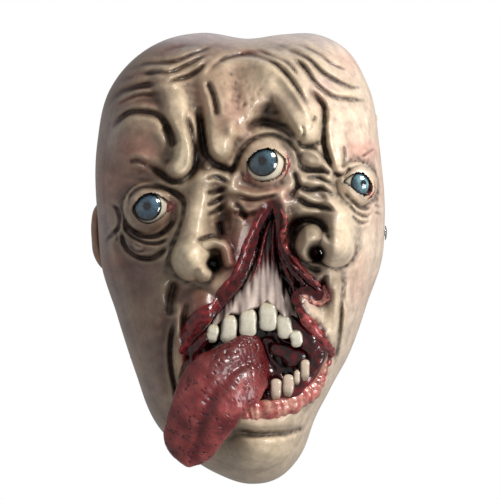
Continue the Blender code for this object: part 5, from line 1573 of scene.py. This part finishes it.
@dataclass
class Tongue:
    """The long tongue: a thick tapering slab with a groove, warts and pits, that bends over the lip."""

    material: Material
    pits: int = 260
    spine: tuple[tuple[float, ...], ...] = (
        (6, -81.5, -99, 14.5, 5.2), (1, -91.5, -100.5, 20, 6.2), (-10, -103, -107, 23.5, 6.8),
        (-23, -110, -118.5, 25, 6.8), (-34, -109, -134.5, 23.5, 6.2), (-39.5, -102, -151, 20.5, 5.6),
        (-42, -97, -162, 16.5, 4.8), (-43, -94, -168, 10.0, 4.0), (-43.4, -93, -171, 5.5, 3.0),
    )
    midline: Path = ((0, -97), (-14, -116), (-30, -136), (-44, -152))

    def build(self) -> None:
        """Sweeps rounded sections along the spine, then presses in the groove and the pits."""
        rows, around = ((230, 150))
        spine = curve_through(self.spine, 24)
        far = lengths_along(spine[:, :3])
        at = np.linspace(0, far[-1], rows)
        path = np.stack([np.interp(at, far, spine[:, k]) for k in range(5)], 1)
        line, wide, thick = path[:, :3], path[:, 3], path[:, 4]
        tip = np.sqrt(np.clip(1 - np.clip((at - far[-1] + 4) / 4.6, 0, 1) ** 2, 0.01, 1))
        across, out = turned_frames(line)
        a = turns(around)
        u, w = signed_power(np.cos(a), 0.85), signed_power(np.sin(a), 0.9)
        face = smoothstep(0.0, 0.6, np.sin(a))
        bent = 3.5 * smoothstep(0, 0.4, at / far[-1])[:, None] * (u**2)[None]
        sway = 0.12 * np.sin(at / 17.0)[:, None]
        groove = 2.6 * bell((u[None] - sway) / 0.16) * face[None]
        groove = groove * smoothstep(4, 26, at)[:, None] * smoothstep(far[-1], far[-1] - 26, at)[:, None]
        side = (wide * tip)[:, None] * u[None] * (1 + 0.05 * np.sin(at / 7.0 + 1)[:, None] * np.sign(u)[None])
        deep = (thick * tip)[:, None] * w[None] - groove - bent * tip[:, None]
        rings = line[:, None] + across[:, None] * side[..., None] + out[:, None] * deep[..., None]
        flat = rings.reshape(-1, 3)
        rng = np.random.default_rng(12)
        spots_at = np.stack([np.repeat(at, around), side.ravel()], 1)
        pits = np.zeros(len(flat))
        for _ in range(self.pits):
            place = np.array([rng.uniform(6, far[-1] - 3), rng.uniform(-1, 1) * 22])
            size = rng.uniform(0.3, 0.8)
            near = np.abs(spots_at - place).max(axis=1) < 3 * size
            pits[near] = np.maximum(pits[near], np.exp(-((spots_at[near] - place) ** 2).sum(1) / size**2))
        top = np.tile(face, rows)
        lumps = 0.35 * ripple(flat, 7.0, 14) + 0.08 * ripple(flat, 2.2, 15) + 0.06 * ripple(flat, 1.2, 16)
        normal = circles(across, out, a).reshape(-1, 3)
        flat = flat + normal * (lumps * np.repeat(tip, around) - 0.9 * pits * top)[:, None]
        piece, points = capped_roll("tongue_flesh", flat.reshape(rings.shape))
        colour = mixed(rgb(116, 34, 38), rgb(160, 66, 66), 0.5 + 0.5 * ripple(points, 12.0, 18))
        # painted highlight: paler on the raised lumps
        colour = mixed(colour, rgb(196, 104, 96), 0.5 * np.clip(1.6 * with_ends(lumps), 0, 1))
        # painted shade towards the top, where the tongue leaves the mouth
        colour *= (1 - 0.55 * smoothstep(-122, -92, points[:, 2]))[:, None]
        # painted shade along the midline groove
        midline, _ = distance_to(np.array(self.midline), points[:, 0], points[:, 2])
        colour *= (1 - 0.45 * bell(midline / 2.6) * (points[:, 1] < -100))[:, None]
        # painted shade: darker on the underside, in the groove, in the dips between lumps and nearly black in the pits
        colour = layered(colour, (rgb(96, 22, 30), with_ends(0.6 * smoothstep(0.1, -0.6, np.tile(np.sin(a), rows)))),
                         (rgb(104, 20, 28), with_ends(0.8 * (groove.ravel() / 2.6))),
                         (rgb(88, 18, 26), np.clip(-0.9 * with_ends(lumps), 0, 0.8)),
                         (rgb(36, 8, 12), with_ends(pits * top)))
        root = smoothstep(34, 6, np.append(np.repeat(at, around), [0, far[-1]]))
        colour = mixed(colour, rgb(86, 14, 20), 0.6 * root)
        set_colour(piece, colour, 0.35 + 0.6 * root)
        dress(piece, self.material, None, "tongue", "tongue_root", "tongue_blade")
        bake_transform(piece)


# ------------------------------------------------------------------ strap and fittings
class Pattern(Enum):
    """Fine structure of a plain material."""

    CLOUD = "cloud"
    WEAVE = "weave"
    CELLS = "cells"


@dataclass(frozen=True)
class PlainFinish:
    """A material without painted points: two shades mixed by noise, with a fine pattern in its bump."""

    name: str
    light: tuple[int, int, int]
    dark: tuple[int, int, int]
    rough: float = 0.6
    metal: float = 0.0
    pattern: Pattern = Pattern.CLOUD
    size: float = 0.001
    depth: float = 0.0002

    def material(self) -> Material:
        """Builds the node material."""
        made, tree, shader, place = new_material(self.name)
        cloud = noise(tree, place, 0.25 / self.size, 4, 0.6)
        if self.pattern is Pattern.WEAVE:
            lay = stored(tree, "lay").outputs["Vector"]
            bands = [add_node(tree, "TexWave", {"Scale": 1.0, "Vector": lay}) for _ in range(2)]
            for band, way in zip(bands, ("X", "Y")):
                band.bands_direction = way
            crossed = {k: band.outputs["Fac"] for k, band in enumerate(bands)}
            fine = add_node(tree, "Math", crossed, "MULTIPLY").outputs[0]
        elif self.pattern is Pattern.CELLS:
            fine = add_node(tree, "TexVoronoi", {"Scale": 1 / self.size, "Vector": place}).outputs["Distance"]
        else:
            fine = noise(tree, place, 1 / self.size, 3, 0.6)
        half_cloud = map_range(tree, cloud, 0.3, 0.7, 0.0, 0.5)
        both = add_node(tree, "Math", {0: fine, 1: 0.5, 2: half_cloud}, "MULTIPLY_ADD")
        ramp = tree.nodes.new("ShaderNodeMix")
        ramp.data_type = "RGBA"
        fill(tree, ramp, {0: both.outputs[0], 6: (*rgb(*self.dark), 1), 7: (*rgb(*self.light), 1)})
        rough = map_range(tree, cloud, 0.3, 0.7, self.rough * 0.8, self.rough * 1.2)
        fill(tree, shader, {"Base Color": ramp.outputs[2], "Metallic": self.metal, "Roughness": rough,
                            "Normal": bumped(tree, fine, 0.6, self.depth)})
        return made


ELASTIC = PlainFinish("woven elastic", (46, 46, 50), (8, 8, 9), 0.85, pattern=Pattern.WEAVE, depth=0.0004)
STEEL = PlainFinish("plated steel", (206, 206, 208), (150, 148, 144), 0.28, 1.0, size=0.0005, depth=0.00004)
PLASTIC = PlainFinish("black plastic", (34, 34, 36), (16, 16, 17), 0.42, size=0.0006, depth=0.00008)
GAUZE = PlainFinish("glued gauze", (224, 208, 170), (168, 146, 104), 0.85, pattern=Pattern.CELLS, size=0.0009,
                    depth=0.0003)
FOAM = PlainFinish("grey foam", (106, 106, 112), (62, 62, 66), 0.9, pattern=Pattern.CELLS, size=0.0007, depth=0.0005)


@dataclass
class Strap:
    """The elastic head strap with its tab, ring, slider and riveted ends, round the CAD's own arc."""

    nodes: dict[str, Piece]
    rivet_y: float = 3.0
    arc_y: float = 27.0
    thickness: float = 1.4
    gap: float = 0.4
    wire: float = 1.1
    turn: float = math.radians(86)
    slider_turn: float = math.radians(28)

    def ribbon(self, name: str, path: list[tuple[float, float]], body: str, node: str) -> None:
        """A flat woven band on edge: a rounded section swept along a path seen from above.

        Args:
            name: The piece's name.
            path: x and y along the band's middle, in millimetres.
            body: The body it rides on.
            node: The CAD node it stands for.
        """
        low, high = box_of(node)
        dense = curve_through(tuple(path), 5)
        ahead = unit(np.gradient(dense, axis=0))
        aside = np.stack([ahead[:, 1], -ahead[:, 0]], 1)
        half, tall = self.thickness / 2 - 0.02, (high[2] - low[2]) / 2
        up = np.linspace(-1, 1, 41)
        thin = half * (1 - np.abs(up) ** 16) ** 0.5 * (1 + 0.10 * np.cos(up * 40))
        section = np.concatenate([np.stack([thin, up * tall], 1), np.stack([-thin[::-1], up[::-1] * tall], 1)[1:-1]])
        rings = np.concatenate([dense[:, None] + aside[:, None] * section[None, :, :1],
                                np.broadcast_to(section[None, :, 1:] + (low[2] + high[2]) / 2,
                                                (len(dense), len(section), 1))], 2)
        piece, points = capped_roll(name, rings)
        lay = np.zeros((len(points), 3), np.float32)
        lay[:-2, 0] = np.repeat(lengths_along(dense), len(section)) * 0.28
        lay[:-2, 1] = np.tile(section[:, 1], len(dense)) * 0.5
        piece.data.attributes.new("lay", "FLOAT_VECTOR", "POINT").data.foreach_set("vector", lay.ravel())
        dress(piece, self.elastic, body, "elastic", node)

    def turned(self, name: str, profile: tuple[tuple[float, float], ...], node: str, outwards: float) -> None:
        """A piece turned about X at the rivets: rings of a profile of (radius, distance outwards)."""
        low, high = box_of(node)
        at = high[0] if outwards > 0 else low[0]
        middle, ring = (low + high) / 2, circles(np.array([0, 1.0, 0]), np.array([0, 0, 1.0]), turns(64))
        rings = np.stack([(at + outwards * out, middle[1], middle[2]) + r * ring for r, out in profile])
        if profile[0] == profile[-1]:
            piece = closed_piece(name, rings.reshape(-1, 3), grid_quads(len(rings), 64, wrap=True))
        else:
            piece, _ = capped_roll(name, rings)
        dress(piece, self.steel, "mask", "steel", node)

    def build(self) -> None:
        """Builds the band, tab, ring, slider and side fittings."""
        self.elastic, self.steel = ELASTIC.material(), STEEL.material()
        low, _ = box_of("strap_band")
        half, loop = self.thickness / 2, self.wire + self.gap + self.thickness / 2
        tab_low, tab_high = box_of("strap_tab")
        ring_low, ring_high = box_of("strap_ring")
        outer_x = tab_high[0]
        middle_x, radius = (low[0] + outer_x) / 2, (outer_x - low[0]) / 2

        def arc(turn: float, inset: float) -> tuple[float, float]:
            """A point of the band's arc, set in from its outside."""
            return (middle_x + (radius - inset) * math.sin(turn), self.arc_y + (radius - inset) * math.cos(turn))

        wire_at = arc(self.turn, half + loop)
        out = np.array([math.sin(self.turn), math.cos(self.turn)])
        on = np.array([out[1], -out[0]])
        ends = -self.slider_turn - 14.5 / radius
        path = [(low[0] + half, low[1]), (low[0] + half, self.rivet_y + 12)]
        path += [arc(a, half) for a in np.linspace(-math.pi / 2, self.turn, 44)]
        path += [tuple(np.array(wire_at) + loop * (out * math.cos(a) + on * math.sin(a)))
                 for a in np.linspace(0.3, math.pi - 0.3, 9)]
        path += [arc(self.turn, half + 2 * loop)]
        path += [arc(a, half + self.thickness + 2 * self.gap) for a in np.linspace(self.turn - 0.16, ends, 30)]
        self.ribbon("elastic_band", path, "strap", "strap_band")
        wire = (tab_high[0] - half - loop, tab_high[1] - half - loop)
        near = wire[0] + loop - self.thickness - self.gap
        fold = [(wire[0] + loop, tab_low[1]), (wire[0] + loop, self.rivet_y + 6)]
        fold += [(wire[0] + loop * math.cos(a), wire[1] + loop * math.sin(a)) for a in np.linspace(0, math.pi, 9)]
        fold += [(near, self.rivet_y + 8), (near, tab_low[1])]
        self.ribbon("elastic_tab", fold, "strap", "strap_tab")
        self.ring(wire, wire_at, ring_low, ring_high)
        for word, side in (("left", -1.0), ("right", 1.0)):
            head, tail = box_of(f"rivet_{word}")
            length = tail[0] - head[0]
            dome = [(5.0 * math.sin(a), 1.2 * math.cos(a) - 1.2) for a in np.linspace(0.05, math.pi / 2, 12)]
            shank = [(5.0, -1.35), (2.0, -1.4), (2.0, -length + 0.9), (3.0, -length + 0.9), (3.2, -length + 0.45),
                     (2.8, -length + 0.05), (1.9, -length), (1.3, -length + 0.5), (0.1, -length + 1.2)]
            self.turned(f"rivet_{word}_steel", tuple(dome + shank), f"rivet_{word}", side)
            self.turned(f"washer_{word}_steel", ((2.45, -0.05), (4.85, 0), (5.0, -0.15), (5.0, -0.65), (4.85, -0.8),
                                                 (2.45, -0.75), (2.45, -0.05)), f"washer_{word}", side)
        carried(self.nodes["slider_frame"], PLASTIC.material(), 0.00035)

    def ring(self, tab: tuple[float, float], band: tuple[float, float], low: Array, high: Array) -> None:
        """The rectangular wire ring: a round wire with bent corners between the tab's loop and the band's."""
        bottom, top = low[2] + self.wire, high[2] - self.wire
        corners = [np.array([*tab, top]), np.array([*band, top]), np.array([*band, bottom]), np.array([*tab, bottom])]
        line = []
        for k, corner in enumerate(corners):
            before, after = corners[k - 1] - corner, corners[(k + 1) % 4] - corner
            a, b = corner + before / np.linalg.norm(before) * 1.4, corner + after / np.linalg.norm(after) * 1.4
            line += [(1 - t) ** 2 * a + 2 * t * (1 - t) * corner + t * t * b for t in np.linspace(0, 1, 9)]
        line = np.array(line)
        ahead = unit(np.roll(line, -1, 0) - np.roll(line, 1, 0))
        flat = unit(np.cross(corners[1] - corners[0], (0, 0, 1.0)))
        ring = circles(np.broadcast_to(flat, line.shape), np.cross(ahead, flat), turns(24))
        piece, _ = hoop("wire_ring", line[:, None] + self.wire * ring)
        dress(piece, self.steel, "strap", "steel", "strap_ring")


def carried(node: Piece, material: Material, bevel: float = 0.0) -> None:
    """Gives a CAD node that is shown as it is a material and rounded edges.

    Args:
        node: The CAD node.
        material: Its material.
        bevel: Width of its rounded edges.
    """
    node.data.materials.clear()
    node.data.materials.append(material)
    if bevel:
        edge = node.modifiers.new("edge", "BEVEL")
        edge.width = bevel
        edge.segments = 3


def forehead_pad(node: Piece, material: Material) -> None:
    """The foam strip inside the forehead: the CAD sheet's box filled by a pillow with soft, full edges."""
    low, high = box_of(node.name)
    count = len(node.data.vertices)
    corners = np.empty(count * 3)
    node.data.vertices.foreach_get("co", corners)
    place = np.array(node.matrix_world)
    corners = corners.reshape(-1, 3) @ place[:3, :3].T + place[:3, 3]
    corners = corners / MM
    u, v = np.meshgrid(np.linspace(-1, 1, 80), np.linspace(-1, 1, 34))
    x, z = (low[0] + high[0]) / 2 + u * (high[0] - low[0]) / 2, (low[2] + high[2]) / 2 + v * (high[2] - low[2]) / 2
    far = (corners[None, :, 0] - x.reshape(-1, 1)) ** 2 + (corners[None, :, 2] - z.reshape(-1, 1)) ** 2
    weight = np.exp(-far / 18.0)
    nearest = (weight * corners[None, :, 1]).sum(1) / weight.sum(1)
    plump = ((1 - u**10) * (1 - v**6)) ** 0.5
    middle = nearest.reshape(x.shape)
    piece = pillow("forehead_foam", x, middle - 4.2 * plump, z, middle + 4.2 * plump + 0.02)
    dress(piece, material, "mask", "foam", node.name)


# ------------------------------------------------------------------ the stage
@dataclass
class Stage:
    """Camera, soft lights and a white surround."""

    lens_range: float = 10.0
    frame_width: float = 0.340
    aim: tuple[float, float] = (-0.0014, -0.0238)
    face_y: float = -0.09
    ambient: float = 0.32  # strength of the white world as a light

    def camera(self) -> None:
        """A long lens straight in front, so that the face is seen almost without perspective."""
        data = bpy.data.cameras.new("camera")
        data.sensor_width = 36.0
        data.lens = 36.0 * self.lens_range / self.frame_width
        data.clip_end = 50.0
        camera = bpy.data.objects.new("camera", data)
        camera.location = (self.aim[0], self.face_y - self.lens_range, self.aim[1])
        camera.rotation_euler = (math.radians(90), 0, 0)
        bpy.context.scene.collection.objects.link(camera)
        bpy.context.scene.camera = camera

    def light(self, name: str, place: Vec3, size: float, power: float, tint: Vec3 = (1, 1, 1)) -> None:
        """Adds one square area light that looks at the face."""
        data = bpy.data.lights.new(name, "AREA")
        data.size = size
        data.energy = power
        data.color = tint
        lamp = bpy.data.objects.new(name, data)
        lamp.location = place
        way = Vector((self.aim[0], self.face_y, self.aim[1])) - Vector(place)
        lamp.rotation_euler = way.to_track_quat("-Z", "Y").to_euler()
        bpy.context.scene.collection.objects.link(lamp)

    def build(self) -> None:
        """Sets the camera, four lights and a world that is white to the camera and dimmer as a light."""
        self.camera()
        self.light("key", (0.60, -0.60, 0.55), 0.25, 7.6, (1.0, 0.98, 0.95))
        self.light("fill", (-1.3, -1.2, 0.1), 1.2, 0.8, (0.92, 0.95, 1.0))
        self.light("side", (0.95, -0.75, -0.2), 0.4, 4.6)
        self.light("back", (0.2, 1.3, 0.9), 1.0, 2.0)
        world = bpy.data.worlds.new("studio")
        world.use_nodes = True
        tree = world.node_tree
        seen = tree.nodes.new("ShaderNodeLightPath").outputs["Is Camera Ray"]
        strength = map_range(tree, seen, 0, 1, self.ambient, 1.0)
        fill(tree, tree.nodes["Background"], {"Color": (1, 1, 1, 1), "Strength": strength})
        bpy.context.scene.world = world
        bpy.context.scene.view_settings.view_transform = "Standard"


SKIN_FINISH = PaintFinish("painted latex", dry=0.42, glossy=0.2, mottle=0.16, mottle_size=0.004, bump=0.5,
                          grain=0.0011, coat=0.2)
FLESH_FINISH = PaintFinish("wet flesh", dry=0.4, glossy=0.13, mottle=0.4, mottle_size=0.0025, bump=0.5, grain=0.0016,
                           bump_depth=0.0006, coat=0.7)
BONE_FINISH = PaintFinish("bared bone", dry=0.4, glossy=0.2, mottle=0.1, mottle_size=0.003, bump=0.3, coat=0.5)
ENAMEL_FINISH = PaintFinish("old enamel", dry=0.3, glossy=0.16, mottle=0.08, mottle_size=0.002, bump=0.12, coat=0.5)
TONGUE_FINISH = PaintFinish("tongue", dry=0.42, glossy=0.2, mottle=0.2, mottle_size=0.003, bump=0.4, grain=0.0009,
                            bump_depth=0.0004, coat=0.4)
EYE_FINISH = PaintFinish("glazed eye", dry=0.2, glossy=0.08, mottle=0.04, mottle_size=0.004, bump=0.02, coat=1.0)


def dress(piece: Piece, material: Material, body: str | None, slot: str, *nodes: str) -> None:
    """Gives a piece its material, parents it to its body's empty and hides the CAD nodes it stands for.

    Args:
        piece: The piece.
        material: Its material.
        body: The body it rides on, or None to leave it unparented, as for a piece that bends between two.
        slot: The record's material slot; not used.
        nodes: CAD nodes it stands for.
    """
    piece.data.materials.append(material)
    if body:
        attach(piece, body)
    if nodes:
        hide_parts(*nodes)
    log.info("%s: %d faces on %s", piece.name, len(piece.data.polygons), body)


def main() -> None:
    """Builds the mask's sub-assemblies in order."""
    logging.basicConfig(level=logging.INFO, format="%(name)s: %(message)s")
    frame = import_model()
    Stage().build()
    eyes = (
        Eye.from_frame("left", LEFT_OPENING, (96, 140, 168), (26, 42, 56)),
        Eye.from_frame("middle", MIDDLE_OPENING, (86, 128, 148), (22, 34, 42)),
        Eye.from_frame("right", RIGHT_OPENING, (150, 200, 214), (58, 92, 104)),
    )
    sculpt = Sculpt(HeadForm(), eyes)
    skin = FaceSkin(sculpt)
    latex = SKIN_FINISH.material()
    for make in (skin.outer, skin.inner, skin.rim, skin.ear):
        dress(make(), latex, "mask", "latex_skin", "face_skin")
    Mouth(sculpt, FLESH_FINISH.material(), BONE_FINISH.material(), ENAMEL_FINISH.material()).build()
    glaze = EYE_FINISH.material()
    for eye in eyes:
        EyeSet(eye, glaze, latex, skin).build()
    Tongue(TONGUE_FINISH.material()).build()
    nodes = frame["nodes"]
    Strap(nodes).build()
    gauze = GAUZE.material()
    for name in ("left", "middle", "right"):
        carried(nodes[f"eye_{name}_backing"], gauze)
    for name in ("left", "right"):
        carried(nodes[f"strap_patch_{name}"], gauze, 0.0002)
    forehead_pad(nodes["forehead_pad"], FOAM.material())


if __name__ == "__main__":
    main()
